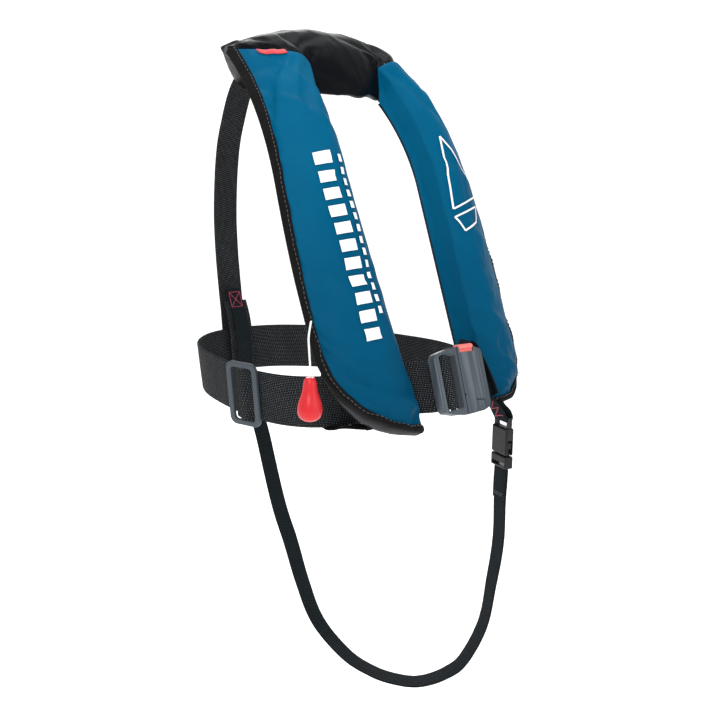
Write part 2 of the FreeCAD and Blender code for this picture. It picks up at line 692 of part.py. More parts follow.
def make_inflator():
    """Manual inflator with its cylinder, in the right lobe, drawn on +X and mirrored."""
    x = 81.0
    n = 20.0
    head0 = 104.0
    cylinder = lobe_rod(x, n, 8.0, 8.0 + CYLINDER_LENGTH - 14.0, CYLINDER_RADIUS)
    cylinder = softened(cylinder, 6.0, lambda e: e.CenterOfMass.z < 40 and e.Length < 90)
    shoulder = Part.makeCone(CYLINDER_RADIUS, 5.5, 7.0, lobe_point(x, n, 94.0), lobe_along(0))
    neck = lobe_rod(x, n, 101.0, 111.0, 5.5)
    save("gas_cylinder", mirrored(cylinder.fuse(shoulder).fuse(neck).removeSplitter()))

    body = lobe_block(x - 11, x + 11, 8.4, 32.0, head0, 142.0)
    body = softened(body, 2.5, lambda e: e.Length > 15)
    body = body.cut(lobe_rod(x, n, head0 - 1, 115.0, 5.7)).cut(lobe_rod(x, n, 113.0, 136.0, 3.2))
    body = body.fuse(lobe_block(x + 9, x + 21, 12.9, 16.5, 106.0, 118.0))
    body = body.fuse(lobe_block(x + 9, x + 21, 7.6, 9.1, 106.0, 118.0))
    pivot_x = x + 16.0
    hole = Part.makeCylinder(1.56, 40, lobe_point(pivot_x, 0.0, 112.0), lobe_normal(0))
    save("inflator_body", mirrored(body.cut(hole).removeSplitter()))
    seal = lobe_rod(x, n, 111.5, 112.8, 5.2).cut(lobe_rod(x, n, 111.0, 113.0, 2.4))
    save("cylinder_seal", mirrored(seal))
    manifold = Part.makeCylinder(13.0, 0.9, lobe_point(x, 6.5, 127.0), lobe_normal(0))
    save("inflator_manifold", mirrored(manifold))
    pin = Part.makeCylinder(1.5, 8.6, lobe_point(pivot_x, 7.7, 112.0), lobe_normal(0))
    save("lever_pin", mirrored(pin))
    lever = Part.makeCylinder(4.4, 3.0, lobe_point(pivot_x, 9.5, 112.0), lobe_normal(0))
    lever = lever.fuse(lobe_block(pivot_x - 1.8, pivot_x + 1.8, 9.5, 12.5, 112.0, 134.0)).cut(hole)
    eye = Part.makeCylinder(0.9, 20, lobe_point(pivot_x, 0.0, 131.5), lobe_normal(0))
    save("inflator_lever", mirrored(lever.cut(eye).removeSplitter()))
    striker = lobe_rod(x, n, 121.5, 127.5, 3.0).fuse(
        Part.makeCone(0.3, 1.6, 4.5, lobe_point(x, n, 117.0), lobe_along(0)))
    save("firing_pin", mirrored(striker))
    clip = lobe_block(x - 13.4, x - 11.4, 14.0, 26.0, 118.0, 132.0)
    save("status_indicator", mirrored(clip))


def make_pull_toggle():
    """Pull cord out of the edge of the right lobe, with its pear-shaped toggle."""
    top = TOGGLE_TOP
    cord = Part.makeCylinder(CORD_RADIUS, 41.0, top - Z_AXIS * 4.0, Z_AXIS)
    save("pull_cord", cord)
    half = [(3.6, 0), (4.9, -2.0), (6.6, -11), (9.3, -20), (TOGGLE_RADIUS, -28)]
    half += [(9.8, -34.5), (5.6, -38.2), (0.0, -TOGGLE_LENGTH)]
    side = curve([Vector(r, 0, z) for r, z in half])
    edges = [Part.makeLine(ORIGIN, Vector(3.6, 0, 0)), side]
    edges.append(Part.makeLine(Vector(0, 0, -TOGGLE_LENGTH), ORIGIN))
    pear = Part.Face(Part.Wire(edges)).revolve(ORIGIN, Z_AXIS, 360)
    pear = pear.cut(Part.makeCylinder(CORD_RADIUS + 0.1, 6.0, Vector(0, 0, -4.2), Z_AXIS))
    pear.translate(top)
    save("pull_toggle", pear)


def make_oral_tube():
    """Mouth inflation tube in the left lobe with its valve, cap, whistle and lanyard."""
    x = 102.0
    n = 14.0
    flange = Part.makeCylinder(13.0, 1.4, lobe_point(x, 6.5, 52.0), lobe_normal(0))
    save("tube_flange", flange)
    elbow = lobe_block(x - 6, x + 6, 8.2, 20.0, 44.0, 58.0)
    tube = lobe_rod(x, n, 56.0, 128.0, 6.0)
    tube = elbow.fuse(tube).cut(lobe_rod(x, n, 57.0, 130.0, 4.4))
    save("oral_tube", tube.removeSplitter())
    valve = lobe_rod(x, n, 128.4, 142.0, 6.4).fuse(lobe_rod(x, n, 118.0, 129.0, 4.3))
    valve = valve.cut(lobe_rod(x, n, 117.0, 134.0, 3.0)).cut(lobe_rod(x, n, 133.0, 143.0, 2.2))
    save("valve_body", valve.removeSplitter())
    poppet = lobe_rod(x, n, 127.0, 144.0, 1.4).fuse(lobe_rod(x, n, 129.0, 131.5, 2.8))
    save("valve_poppet", poppet.removeSplitter())
    cap = lobe_rod(x, n, 137.0, 149.0, 7.4).cut(lobe_rod(x, n, 136.0, 147.0, 6.7))
    save("dust_cap", cap)
    barrel = lobe_rod(88.5, 15.5, 62.0, 96.0, 5.0).cut(lobe_rod(88.5, 15.5, 66.0, 94.0, 3.8))
    window = lobe_block(84.0, 93.0, 17.0, 24.0, 84.0, 89.0)
    save("whistle", barrel.cut(window))


def make_clip():
    """Side-release clip: female half under the tab, male half on the crotch strap."""
    def place(shape):
        shape.rotate(ORIGIN, Z_AXIS, CLIP_TURN)
        shape.translate(CLIP_TOP)
        return shape
    half = CLIP_WIDTH / 2
    thick = CLIP_THICK / 2
    shell = block(-half, half, -thick, thick, -27, 0)
    shell = softened(shell, 2.0, lambda e: e.Length > 8)
    shell = shell.cut(block(-half + 2.4, half - 2.4, -thick + 1.6, thick - 1.6, -40, -9))
    shell = shell.cut(block(-half - 5, half + 5, -thick + 1.9, thick - 1.9, -30, -12))
    ears = shell.fuse(block(-half + 1, -half + 4, -2.2, 2.2, -2, 9.5))
    ears = ears.fuse(block(half - 4, half - 1, -2.2, 2.2, -2, 9.5))
    ears = ears.fuse(block(-half + 1, half - 1, -2.2, 2.2, 7.0, 9.8))
    save("clip_female", place(ears.removeSplitter()))
    base = block(-half, half, -thick, thick, -40, -27.6)
    base = softened(base, 1.6, lambda e: e.Length > 8)
    base = base.cut(block(-half + 2.5, half - 2.5, -20, 20, -38, -34.5))
    guide = block(-1.6, 1.6, -1.5, 1.5, -29, -11)
    male = base.fuse(guide)
    for sign in (-1, 1):
        x0 = sign * (half - 4.4) - 1.5
        male = male.fuse(block(x0, x0 + 3.0, -2.0, 2.0, -29, -14.0))
        x1 = sign * (half - 3.2) - 2.5
        male = male.fuse(block(x1, x1 + 5.0, -2.0, 2.0, -20.2, -14.0))
    save("clip_male", place(male.removeSplitter()))


def make_small_parts():
    """Woven side tab and lifting loop."""
    tab = block(-9, 9, -0.5, 0.5, -4, 4)
    tab.rotate(ORIGIN, X_AXIS, -50)
    tab.rotate(ORIGIN, Z_AXIS, -40)
    tab.translate(Vector(-72, 45.5, 340.5))
    save("woven_tab", tab)
    line = [lobe_point(72, 29.9, 150), lobe_point(72, 30.2, 170), lobe_point(72, 30.2, 190)]
    save("lifting_loop", ribbon(line, X_AXIS, 8.0, 1.0))


make_covers()
bladder_core = make_yoke()
make_bladder(bladder_core)
make_webbing()
make_crotch_loop()
make_crotch_tab()
make_buckle()
make_slider()
make_inflator()
make_pull_toggle()
make_oral_tube()
make_clip()
make_small_parts()
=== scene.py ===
"""Looks of the inflatable life jacket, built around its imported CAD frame. Metres, Z up.

The left half of the jacket (+X) is drawn and mirrored where the right half is the same.
"""

import json
import math

import bmesh
import bpy
import numpy as np
from mathutils import Matrix, Vector, noise


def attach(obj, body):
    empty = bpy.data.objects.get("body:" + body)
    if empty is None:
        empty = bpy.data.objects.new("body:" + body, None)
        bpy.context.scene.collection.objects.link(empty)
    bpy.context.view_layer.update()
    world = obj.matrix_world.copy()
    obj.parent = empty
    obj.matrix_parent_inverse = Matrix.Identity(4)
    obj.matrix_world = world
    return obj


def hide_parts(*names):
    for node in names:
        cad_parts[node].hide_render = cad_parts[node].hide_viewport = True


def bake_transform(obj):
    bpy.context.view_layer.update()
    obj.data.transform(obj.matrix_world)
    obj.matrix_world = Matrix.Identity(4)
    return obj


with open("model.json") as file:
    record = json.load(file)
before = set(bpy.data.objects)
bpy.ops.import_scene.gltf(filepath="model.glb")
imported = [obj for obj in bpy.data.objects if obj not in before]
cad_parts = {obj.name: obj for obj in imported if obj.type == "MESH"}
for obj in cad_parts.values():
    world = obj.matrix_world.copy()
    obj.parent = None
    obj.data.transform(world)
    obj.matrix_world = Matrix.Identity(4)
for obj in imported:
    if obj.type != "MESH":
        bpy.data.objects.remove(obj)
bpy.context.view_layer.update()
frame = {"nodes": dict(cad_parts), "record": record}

MM = 0.001

# Lobe frame, the same curve as the CAD covers
LEAN = math.radians(22.8)
PANEL_FRONT = 99.0
BEND_START = 217.0
SHOULDER_RADIUS = 275.0
WALL_HEIGHT = 27.0
CROWN_HEIGHT = 35.0
END_RISE = 0.82
LOBE_INSET = 4.0
LEFT_TIP_RAISE = 9.0
EDGE_HEIGHT = 4.0
SEAM_INNER = 337.0
SEAM_WALL = 313.0
SEAM_OUTER = 381.0
BOTTOM_CURVE = [(49.0, -28.5), (67.0, -25.0), (85.0, -18.0), (103.0, -6.0),
                (118.0, 12.0), (128.0, 32.0), (133.0, 54.0)]
FLAP_FIXED_AT = 292.0
FLAP_FREE_AT = 204.0
LOBE_MIDDLE = 85.0

COVER_THICK = 0.0009  # metres, as the modifiers want it
ROW_CROWDING = 1.15   # rows of a lobe stand closer together near its lower end

# Cloth simulation: air pressure, shrinking of the cloth, farthest move of a point in metres
LOBE_PUFF = {"pressure": 3.2, "shrink": -0.035, "cap": 0.0038}
YOKE_PUFF = {"pressure": 3.0, "shrink": -0.07, "cap": 0.0055, "bending": 0.15}

WALL_COLUMNS = 7
FRONT_COLUMNS = 30
BACK_COLUMNS = 18
ROWS = 92


# ---------------------------------------------------------------- lobe frame

def path_at(s):
    """Place and lean of the body side of a lobe, s along it from belt height, in mm."""
    if s <= BEND_START:
        return -PANEL_FRONT + s * math.sin(LEAN), s * math.cos(LEAN), LEAN
    lean = LEAN + (s - BEND_START) / SHOULDER_RADIUS
    y = -PANEL_FRONT + BEND_START * math.sin(LEAN)
    y += SHOULDER_RADIUS * (math.cos(LEAN) - math.cos(lean))
    z = BEND_START * math.cos(LEAN)
    z += SHOULDER_RADIUS * (math.sin(lean) - math.sin(LEAN))
    return y, z, lean


def lobe_point(x, n, s):
    """Point of the left lobe in metres, from its width, height and length in mm."""
    y, z, lean = path_at(s)
    return np.array([x - LOBE_INSET, y - n * math.cos(lean), z + n * math.sin(lean)]) * MM


def lobe_normal(s):
    """Direction away from the body."""
    lean = path_at(s)[2]
    return np.array([0.0, -math.cos(lean), math.sin(lean)])


def inner_edge(s):
    """Half of the neck gap."""
    if s <= BEND_START:
        return 50.0 + 10.0 * s / BEND_START
    return 60.0 - 7.2 * ((s - BEND_START) / 100.0) ** 2


def outer_edge(s):
    """Half of the whole width."""
    if s <= 120.0:
        return 133.0
    return 133.0 - 25.0 * ((s - 120.0) / 261.0) ** 1.6


def bottom_at(x):
    """Where the rounded lower end lies at one width."""
    xs = [p[0] for p in BOTTOM_CURVE]
    ss = [p[1] for p in BOTTOM_CURVE]
    return float(np.interp(x, xs, ss))


def smooth(t):
    """Soft step from 0 to 1."""
    t = min(max(t, 0.0), 1.0)
    return t * t * (3.0 - 2.0 * t)


def crown(share):
    """Height of the padded front over the width."""
    if share < 0.25:
        rise = math.sin(share / 0.25 * math.pi / 2)
        return WALL_HEIGHT + (CROWN_HEIGHT - WALL_HEIGHT) * rise
    fall = (share - 0.25) / 0.75
    return EDGE_HEIGHT + (CROWN_HEIGHT - EDGE_HEIGHT) * (1.0 - fall ** 1.6)


def column_span(share):
    """Lowest and highest s of one column of the lobe."""
    low = bottom_at(50.0 + 83.0 * share)
    high = SEAM_INNER + (SEAM_OUTER - SEAM_INNER) * share ** 2.2
    return low, high


def end_taper(distance):
    """How far the pad has risen at a distance from its rounded lower end."""
    return END_RISE + (1.0 - END_RISE) * smooth(distance / 30.0)


def lobe_loop_point(column, t):
    """Point of the closed section loop of a lobe: wall, front, outer edge, back."""
    if column < WALL_COLUMNS:
        low, high = column_span(0.0)
        rise = column / WALL_COLUMNS
        top = high + (SEAM_WALL - high) * (1.0 - rise)
        s = low + (top - low) * t
        height = 1.8 + (WALL_HEIGHT - 1.8) * rise * end_taper(s - low)
        return lobe_point(inner_edge(s), height, s)
    column -= WALL_COLUMNS
    if column <= FRONT_COLUMNS:
        share = column / FRONT_COLUMNS
        low, high = column_span(share)
        s = low + (high - low) * t
        x = inner_edge(s) + (outer_edge(s) - inner_edge(s)) * share
        taper = end_taper(s - low)
        base = EDGE_HEIGHT if share > 0.05 else 2.2
        height = base + (crown(share) - base) * taper
        return lobe_point(x, height, s)
    share = 1.0 - (column - FRONT_COLUMNS) / BACK_COLUMNS
    low, high = column_span(share)
    high = high + (SEAM_WALL - SEAM_INNER) * (1.0 - share)
    s = low + (high - low) * t
    x = inner_edge(s) + (outer_edge(s) - inner_edge(s)) * share
    return lobe_point(x, 1.8, s)


# ---------------------------------------------------------------- mesh helpers

def new_object(name, mesh):
    """Object in the scene for a mesh."""
    thing = bpy.data.objects.new(name, mesh)
    bpy.context.scene.collection.objects.link(thing)
    return thing


def grid_faces(rows, columns, wrap=False):
    """Quads of a grid of points stored row by row."""
    faces = []
    last = columns if wrap else columns - 1
    for r in range(rows - 1):
        for c in range(last):
            d = (c + 1) % columns
            faces.append((r * columns + c, r * columns + d,
                          (r + 1) * columns + d, (r + 1) * columns + c))
    return faces


def mesh_object(name, points, faces, material, uvs=None, flat=False):
    """Object from points in metres and faces, with smooth shading and outward faces."""
    mesh = bpy.data.meshes.new(name)
    mesh.from_pydata([tuple(p) for p in points], [], faces)
    if uvs is not None:
        layer = mesh.uv_layers.new(name="UVMap")
        for loop in mesh.loops:
            layer.data[loop.index].uv = uvs[loop.vertex_index]
    mesh.validate()
    for polygon in mesh.polygons:
        polygon.use_smooth = not flat
    mesh.materials.append(material)
    return new_object(name, mesh)


def grid_object(name, grid, material, wrap=False, uvs=None):
    """Object from a rows by columns by 3 array."""
    rows, columns = grid.shape[:2]
    flat_uv = None if uvs is None else uvs.reshape(-1, 2)
    return mesh_object(name, grid.reshape(-1, 3), grid_faces(rows, columns, wrap),
                       material, flat_uv)


def mirror_grid(grid):
    """Grid on the wearer's other side, with its faces still outwards."""
    turned = grid[:, ::-1].copy()
    turned[..., 0] *= -1
    return turned


def fix_normals(thing):
    """Make all faces of a closed piece point outwards."""
    work = bmesh.new()
    work.from_mesh(thing.data)
    bmesh.ops.recalc_face_normals(work, faces=work.faces)
    work.to_mesh(thing.data)
    work.free()


def add_thickness(thing, thick, offset=-1.0):
    """Give a sheet its thickness."""
    modifier = thing.modifiers.new("thickness", "SOLIDIFY")
    modifier.thickness = thick
    modifier.offset = offset
    return thing


def add_subdivision(thing, levels=1):
    """Round a mesh off."""
    modifier = thing.modifiers.new("subdivision", "SUBSURF")
    modifier.levels = levels
    modifier.render_levels = levels
    return thing


def add_bevel(thing, width, segments=2, angle=35.0):
    """Round the sharp edges of a moulded part."""
    modifier = thing.modifiers.new("bevel", "BEVEL")
    modifier.width = width
    modifier.segments = segments
    modifier.limit_method = "ANGLE"
    modifier.angle_limit = math.radians(angle)
    modifier.harden_normals = False
    return thing


def run_lengths(points):
    """Distance along a line of points, from its first one."""
    return np.concatenate([[0], np.cumsum(np.linalg.norm(np.diff(points, axis=0), axis=1))])


def tangents(points):
    """Unit directions along a line of points."""
    ahead = np.gradient(points, axis=0)
    return ahead / np.linalg.norm(ahead, axis=1, keepdims=True)


def at_length(distance, reach, line):
    """Point of a line at a distance along it."""
    return np.array([np.interp(distance, reach, line[:, k]) for k in range(3)])


def finish_piece(piece, slot, *nodes, body="root"):
    """Hide the CAD nodes a piece stands for and attach it to the body it rides on. The slot argument is not
    used.
    """
    if nodes:
        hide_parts(*nodes)
    if body:
        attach(piece, body)


def spline(points, count):
    """Evenly spaced points on a smooth curve through the given ones."""
    points = np.array(points, float)
    padded = np.vstack([2 * points[0] - points[1], points, 2 * points[-1] - points[-2]])
    fine = []
    for i in range(1, len(padded) - 2):
        p0, p1, p2, p3 = padded[i - 1:i + 3]
        for t in np.linspace(0, 1, 24, endpoint=False):
            fine.append(0.5 * (2 * p1 + (p2 - p0) * t + (2 * p0 - 5 * p1 + 4 * p2 - p3) * t * t
                               + (3 * p1 - p0 - 3 * p2 + p3) * t ** 3))
    fine.append(points[-1])
    fine = np.array(fine)
    length = run_lengths(fine[:, :3])
    wanted = np.linspace(0, length[-1], count)
    return np.stack([np.interp(wanted, length, fine[:, k]) for k in range(fine.shape[1])], 1)


def inflate(grid, pinned, pressure, shrink, cap, frames=20, stiffness=12.0, bending=0.6, wrap=True):
    """Blow a closed loop grid up with a cloth simulation and give back its new points."""
    rows, columns = grid.shape[:2]
    start = grid.reshape(-1, 3)
    mesh = bpy.data.meshes.new("cloth_work")
    mesh.from_pydata([tuple(p) for p in start], [], grid_faces(rows, columns, wrap))
    work = new_object("cloth_work", mesh)
    fix_normals(work)
    group = work.vertex_groups.new(name="pin")
    group.add([int(i) for i in pinned], 1.0, "REPLACE")
    cloth = work.modifiers.new("cloth", "CLOTH")
    cloth.settings.quality = 6
    cloth.settings.mass = 0.25
    cloth.settings.tension_stiffness = stiffness
    cloth.settings.compression_stiffness = stiffness
    cloth.settings.shear_stiffness = stiffness * 0.5
    cloth.settings.bending_stiffness = bending
    cloth.settings.air_damping = 2.0
    cloth.settings.use_pressure = True
    cloth.settings.uniform_pressure_force = pressure
    cloth.settings.shrink_min = shrink
    cloth.settings.vertex_group_mass = "pin"
    cloth.settings.effector_weights.gravity = 0.0
    cloth.collision_settings.use_collision = False
    cloth.point_cache.frame_start = 1
    cloth.point_cache.frame_end = frames
    scene = bpy.context.scene
    for number in range(1, frames + 1):
        scene.frame_set(number)
    evaluated = work.evaluated_get(bpy.context.evaluated_depsgraph_get())
    moved = np.array([v.co for v in evaluated.data.vertices])
    bpy.data.objects.remove(work)
    scene.frame_set(1)
    step = moved - start
    size = np.linalg.norm(step, axis=1, keepdims=True)
    step *= np.minimum(1.0, cap / np.maximum(size, 1e-9))
    return (start + step).reshape(grid.shape)


# ---------------------------------------------------------------- materials

class Nodes:
    """Small helper to write a node material as nested calls."""

    def __init__(self, name):
        self.material = bpy.data.materials.new(name)
        self.material.use_nodes = True
        self.tree = self.material.node_tree
        self.shader = self.tree.nodes["Principled BSDF"]

    def node(self, kind, **inputs):
        """A node with its inputs set from values or from other nodes' outputs."""
        item = self.tree.nodes.new(kind)
        for key, value in inputs.items():
            self.put(item, key, value)
        return item

    def put(self, item, key, value):
        """One input or property of a node."""
        name = key.replace("_", " ")
        target = item.inputs.get(name) or item.inputs.get(name.title())
        if key.startswith("in"):
            target = item.inputs[int(key[2:])]
        if target is None:
            setattr(item, key, value)
        elif isinstance(value, bpy.types.NodeSocket):
            self.tree.links.new(value, target)
        else:
            target.default_value = value

    def math(self, operation, a, b=0.0, c=None, clamp=False):
        """Arithmetic on two values, or three for a multiply and add."""
        item = self.tree.nodes.new("ShaderNodeMath")
        item.operation = operation
        item.use_clamp = clamp
        self.put(item, "in0", a)
        self.put(item, "in1", b)
        if c is not None:
            item.inputs[2].default_value = c
        return item.outputs[0]

    def mix(self, share, a, b):
        """Colour between a and b."""
        item = self.tree.nodes.new("ShaderNodeMix")
        item.data_type = "RGBA"
        for socket, value in ((item.inputs[0], share), (item.inputs[6], a), (item.inputs[7], b)):
            if isinstance(value, bpy.types.NodeSocket):
                self.tree.links.new(value, socket)
            else:
                socket.default_value = value
        return item.outputs[2]

    def noise(self, vector, scale, detail=3.0, rough=0.5):
        """Noise value between 0 and 1."""
        item = self.node("ShaderNodeTexNoise", Vector=vector, Scale=scale, Detail=detail,
                         Roughness=rough)
        return item.outputs["Fac"]

    def place(self):
        """Object coordinates in metres."""
        return self.tree.nodes.new("ShaderNodeTexCoord").outputs["Object"]

    def uv(self):
        """Coordinates along and across a strip in metres."""
        item = self.tree.nodes.new("ShaderNodeSeparateXYZ")
        coordinate = self.tree.nodes.new("ShaderNodeTexCoord")
        self.tree.links.new(coordinate.outputs["UV"], item.inputs[0])
        return item.outputs[0], item.outputs[1]

    def bump(self, height, strength, distance):
        """Link a height to the shader's normal."""
        item = self.node("ShaderNodeBump", Height=height, Strength=strength, Distance=distance)
        self.tree.links.new(item.outputs[0], self.shader.inputs["Normal"])

    def set(self, **inputs):
        """Shader inputs by name."""
        names = {"colour": "Base Color", "rough": "Roughness", "sheen": "Sheen Weight",
                 "sheen_rough": "Sheen Roughness", "metal": "Metallic", "coat": "Coat Weight",
                 "coat_rough": "Coat Roughness", "specular": "Specular IOR Level",
                 "subsurface": "Subsurface Weight"}
        for key, value in inputs.items():
            socket = self.shader.inputs[names[key]]
            if isinstance(value, bpy.types.NodeSocket):
                self.tree.links.new(value, socket)
            else:
                socket.default_value = value
        return self.material


def rgb(r, g, b):
    """Colour with full alpha."""
    return (r, g, b, 1.0)


def wave(n, value, pitch):
    """Cosine wave between 0 and 1 with a pitch in metres."""
    turned = n.math("MULTIPLY", value, 2 * math.pi / pitch)
    return n.math("MULTIPLY_ADD", n.math("COSINE", turned), 0.5)


def cover_cloth(name, light, dark, rough, specular, deep=None):
    """Coated nylon: fine plain weave under a film, faint cloudy creases, and painted shade that deepens the
    colour towards the belt.
    """
    n = Nodes(name)
    place = n.place()
    cloud = n.noise(place, 14.0, 4.0)
    fine = n.noise(place, 900.0, 2.0)
    share = n.math("MULTIPLY_ADD", cloud, 1.4, -0.2, clamp=True)
    colour = n.mix(share, dark, light)
    # painted shade: the optional deep colour is mixed in lower down, darkening the cloth towards the belt as
    # shade would
    if deep:
        height = n.tree.nodes.new("ShaderNodeSeparateXYZ")
        n.tree.links.new(place, height.inputs[0])
        low = n.math("MULTIPLY_ADD", height.outputs[2], -2.2, 0.68, clamp=True)
        colour = n.mix(low, colour, deep)
    colour = n.mix(n.math("MULTIPLY", fine, 0.12), colour, rgb(0.0, 0.0, 0.0))
    weave_x = wave(n, n.uv()[0], 0.0011)
    weave_y = wave(n, n.uv()[1], 0.0011)
    weave = n.math("MULTIPLY", weave_x, weave_y)
    crease = n.noise(place, 55.0, 5.0, 0.6)
    fold = n.noise(place, 19.0, 3.0, 0.5)
    height = n.math("ADD", n.math("MULTIPLY", weave, 0.12), n.math("MULTIPLY", crease, 0.9))
    height = n.math("ADD", height, n.math("MULTIPLY", fold, 4.5))
    n.bump(height, 0.35, 0.0012)
    rough_map = n.math("MULTIPLY_ADD", cloud, 0.16, rough)
    return n.set(colour=colour, rough=rough_map, sheen=0.0, specular=specular)


def webbing_cloth(name, dark, light, pitch=0.0021):
    """Coarse webbing: twill ribs across its width, with a painted highlight that makes the yarn tops bright.
    """
    n = Nodes(name)
    across, along = n.uv()
    diagonal = n.math("ADD", across, n.math("MULTIPLY", along, 0.9))
    rib = wave(n, diagonal, pitch)
    pick = wave(n, along, pitch * 0.62)
    warp = wave(n, across, pitch * 0.8)
    bumps = n.math("MULTIPLY", n.math("ADD", rib, pick), warp)
    place = n.place()
    speck = n.noise(place, 1500.0, 2.0, 0.7)
    patch = n.noise(place, 60.0, 3.0)
    # painted highlight: the raised yarn tops get the light colour as a glint, and a lower roughness
    painted_glint = n.math("MULTIPLY", n.math("POWER", n.math("MULTIPLY", bumps, 0.5), 3.4), speck)
    painted_glint = n.math("MULTIPLY", painted_glint, n.math("ADD", patch, 0.9), clamp=True)
    colour = n.mix(painted_glint, dark, light)
    n.bump(n.math("ADD", bumps, n.math("MULTIPLY", speck, 0.4)), 0.8, 0.0005)
    rough = n.math("SUBTRACT", 0.78, n.math("MULTIPLY", painted_glint, 0.5))
    return n.set(colour=colour, rough=rough, sheen=0.0, specular=0.10)


def moulded(name, colour, worn, rough, grain=1400.0, depth=0.00008):
    """Moulded plastic: fine spark-eroded grain, lighter on worn edges."""
    n = Nodes(name)
    place = n.place()
    grit = n.noise(place, grain, 3.0, 0.6)
    cloud = n.noise(place, 45.0, 4.0)
    geometry = n.tree.nodes.new("ShaderNodeNewGeometry")
    edge = n.math("MULTIPLY_ADD", geometry.outputs["Pointiness"], 9.0, -4.7, clamp=True)
    share = n.math("ADD", n.math("MULTIPLY", edge, 0.7), n.math("MULTIPLY", cloud, 0.25))
    tone = n.mix(share, colour, worn)
    n.bump(grit, 0.4, depth)
    rough_map = n.math("MULTIPLY_ADD", grit, 0.2, rough)
    return n.set(colour=tone, rough=rough_map, specular=0.28)


def steel(name, colour, rough):
    """Drawn or plated steel with faint turning marks."""
    n = Nodes(name)
    place = n.place()
    marks = n.noise(place, 700.0, 4.0, 0.7)
    colour = n.mix(n.math("MULTIPLY", marks, 0.4), colour, rgb(0.25, 0.26, 0.27))
    n.bump(marks, 0.2, 0.00005)
    return n.set(colour=colour, rough=rough, metal=1.0)


def thread(name, colour, light):
    """Twisted sewing thread or cord."""
    n = Nodes(name)
    place = n.place()
    twist = n.noise(place, 2600.0, 2.0)
    n.bump(twist, 0.6, 0.0003)
    return n.set(colour=n.mix(twist, colour, light), rough=0.6, sheen=0.3)


def print_ink(name):
    """White transfer print on the cover."""
    n = Nodes(name)
    place = n.place()
    crack = n.noise(place, 420.0, 4.0, 0.7)
    colour = n.mix(n.math("MULTIPLY", crack, 0.25), rgb(0.92, 0.93, 0.94), rgb(0.62, 0.68, 0.72))
    n.bump(crack, 0.25, 0.0002)
    return n.set(colour=colour, rough=0.5)


M = {
    # blue cloth: its last colour is painted shade, mixed in towards the belt
    "blue": cover_cloth("blue_coated_nylon", rgb(0.0, 0.132, 0.262), rgb(0.0, 0.092, 0.195), 0.42, 0.035,
                        rgb(0.0, 0.036, 0.084)),
    "black": cover_cloth("black_yoke_nylon", rgb(0.004, 0.005, 0.007), rgb(0.002, 0.003, 0.004), 0.30, 0.06),
    "panel": cover_cloth("black_panel_cloth", rgb(0.012, 0.013, 0.016), rgb(0.006, 0.007, 0.009), 0.55, 0.2),
    "yellow": cover_cloth("yellow_bladder_cloth", rgb(0.86, 0.62, 0.03), rgb(0.70, 0.46, 0.02), 0.38, 0.4),
    # webbings: the second colour of each is the painted highlight on its yarn tops
    "webbing": webbing_cloth("black_webbing", rgb(0.003, 0.004, 0.005), rgb(0.52, 0.56, 0.60)),
    "narrow": webbing_cloth("narrow_webbing", rgb(0.003, 0.006, 0.008), rgb(0.16, 0.20, 0.23), 0.0016),
    "tape": webbing_cloth("edge_tape", rgb(0.006, 0.006, 0.006), rgb(0.06, 0.055, 0.055), 0.0013),
    "grey": moulded("grey_acetal", rgb(0.042, 0.054, 0.066), rgb(0.12, 0.14, 0.165), 0.36),
    "gloss": moulded("black_acetal", rgb(0.002, 0.002, 0.003), rgb(0.012, 0.013, 0.015), 0.18),
    "coral": moulded("red_button_plastic", rgb(0.84, 0.145, 0.130), rgb(0.93, 0.34, 0.31), 0.25),
    "red": moulded("red_toggle_plastic", rgb(0.58, 0.012, 0.018), rgb(0.78, 0.10, 0.11), 0.22),
    "steel": steel("spring_steel", rgb(0.62, 0.63, 0.65), 0.28),
    "zinc": steel("zinc_plate", rgb(0.50, 0.52, 0.54), 0.38),
    "green": moulded("green_indicator", rgb(0.02, 0.40, 0.09), rgb(0.2, 0.6, 0.25), 0.3),
    "rubber": moulded("black_rubber", rgb(0.016, 0.017, 0.019), rgb(0.05, 0.05, 0.055), 0.6),
    "orange": moulded("orange_whistle", rgb(0.90, 0.20, 0.02), rgb(0.95, 0.4, 0.15), 0.3),
    "white": thread("white_cord", rgb(0.80, 0.81, 0.82), rgb(0.95, 0.95, 0.95)),
    "red_thread": thread("red_thread", rgb(0.33, 0.010, 0.045), rgb(0.60, 0.05, 0.12)),
    "black_thread": thread("black_thread", rgb(0.02, 0.02, 0.022), rgb(0.07, 0.07, 0.075)),
    "label": thread("red_woven_label", rgb(0.62, 0.015, 0.03), rgb(0.80, 0.07, 0.08)),
    "ink": print_ink("white_print"),
}


# ---------------------------------------------------------------- lobes and yoke

def lobe_grid():
    """Closed loops of the left lobe from its lower end to the seam."""
    columns = WALL_COLUMNS + FRONT_COLUMNS + BACK_COLUMNS
    ts = [smooth_rows(r / (ROWS - 1)) for r in range(ROWS)]
    return np.array([[lobe_loop_point(c, t) for c in range(columns)] for t in ts])


def smooth_rows(t):
    """Rows stand closer together near the lower end."""
    return t ** ROW_CROWDING


def pinned_points(grid):
    """Points held by the seams: both ends, the outer edge and the neck-side corner."""
    rows, columns = grid.shape[:2]
    held = set()
    for c in range(columns):
        held.add(c)
        held.add((rows - 1) * columns + c)
    for r in range(rows):
        held.add(r * columns)
        held.add(r * columns + WALL_COLUMNS + FRONT_COLUMNS)
        for c in range(WALL_COLUMNS + FRONT_COLUMNS + 1, columns):
            held.add(r * columns + c)
    return sorted(held)


def grid_normals(grid):
    """Unit normals of an open grid."""
    du = np.gradient(grid, axis=1)
    dv = np.gradient(grid, axis=0)
    normal = np.cross(du, dv)
    size = np.linalg.norm(normal, axis=2, keepdims=True)
    return normal / np.maximum(size, 1e-12)


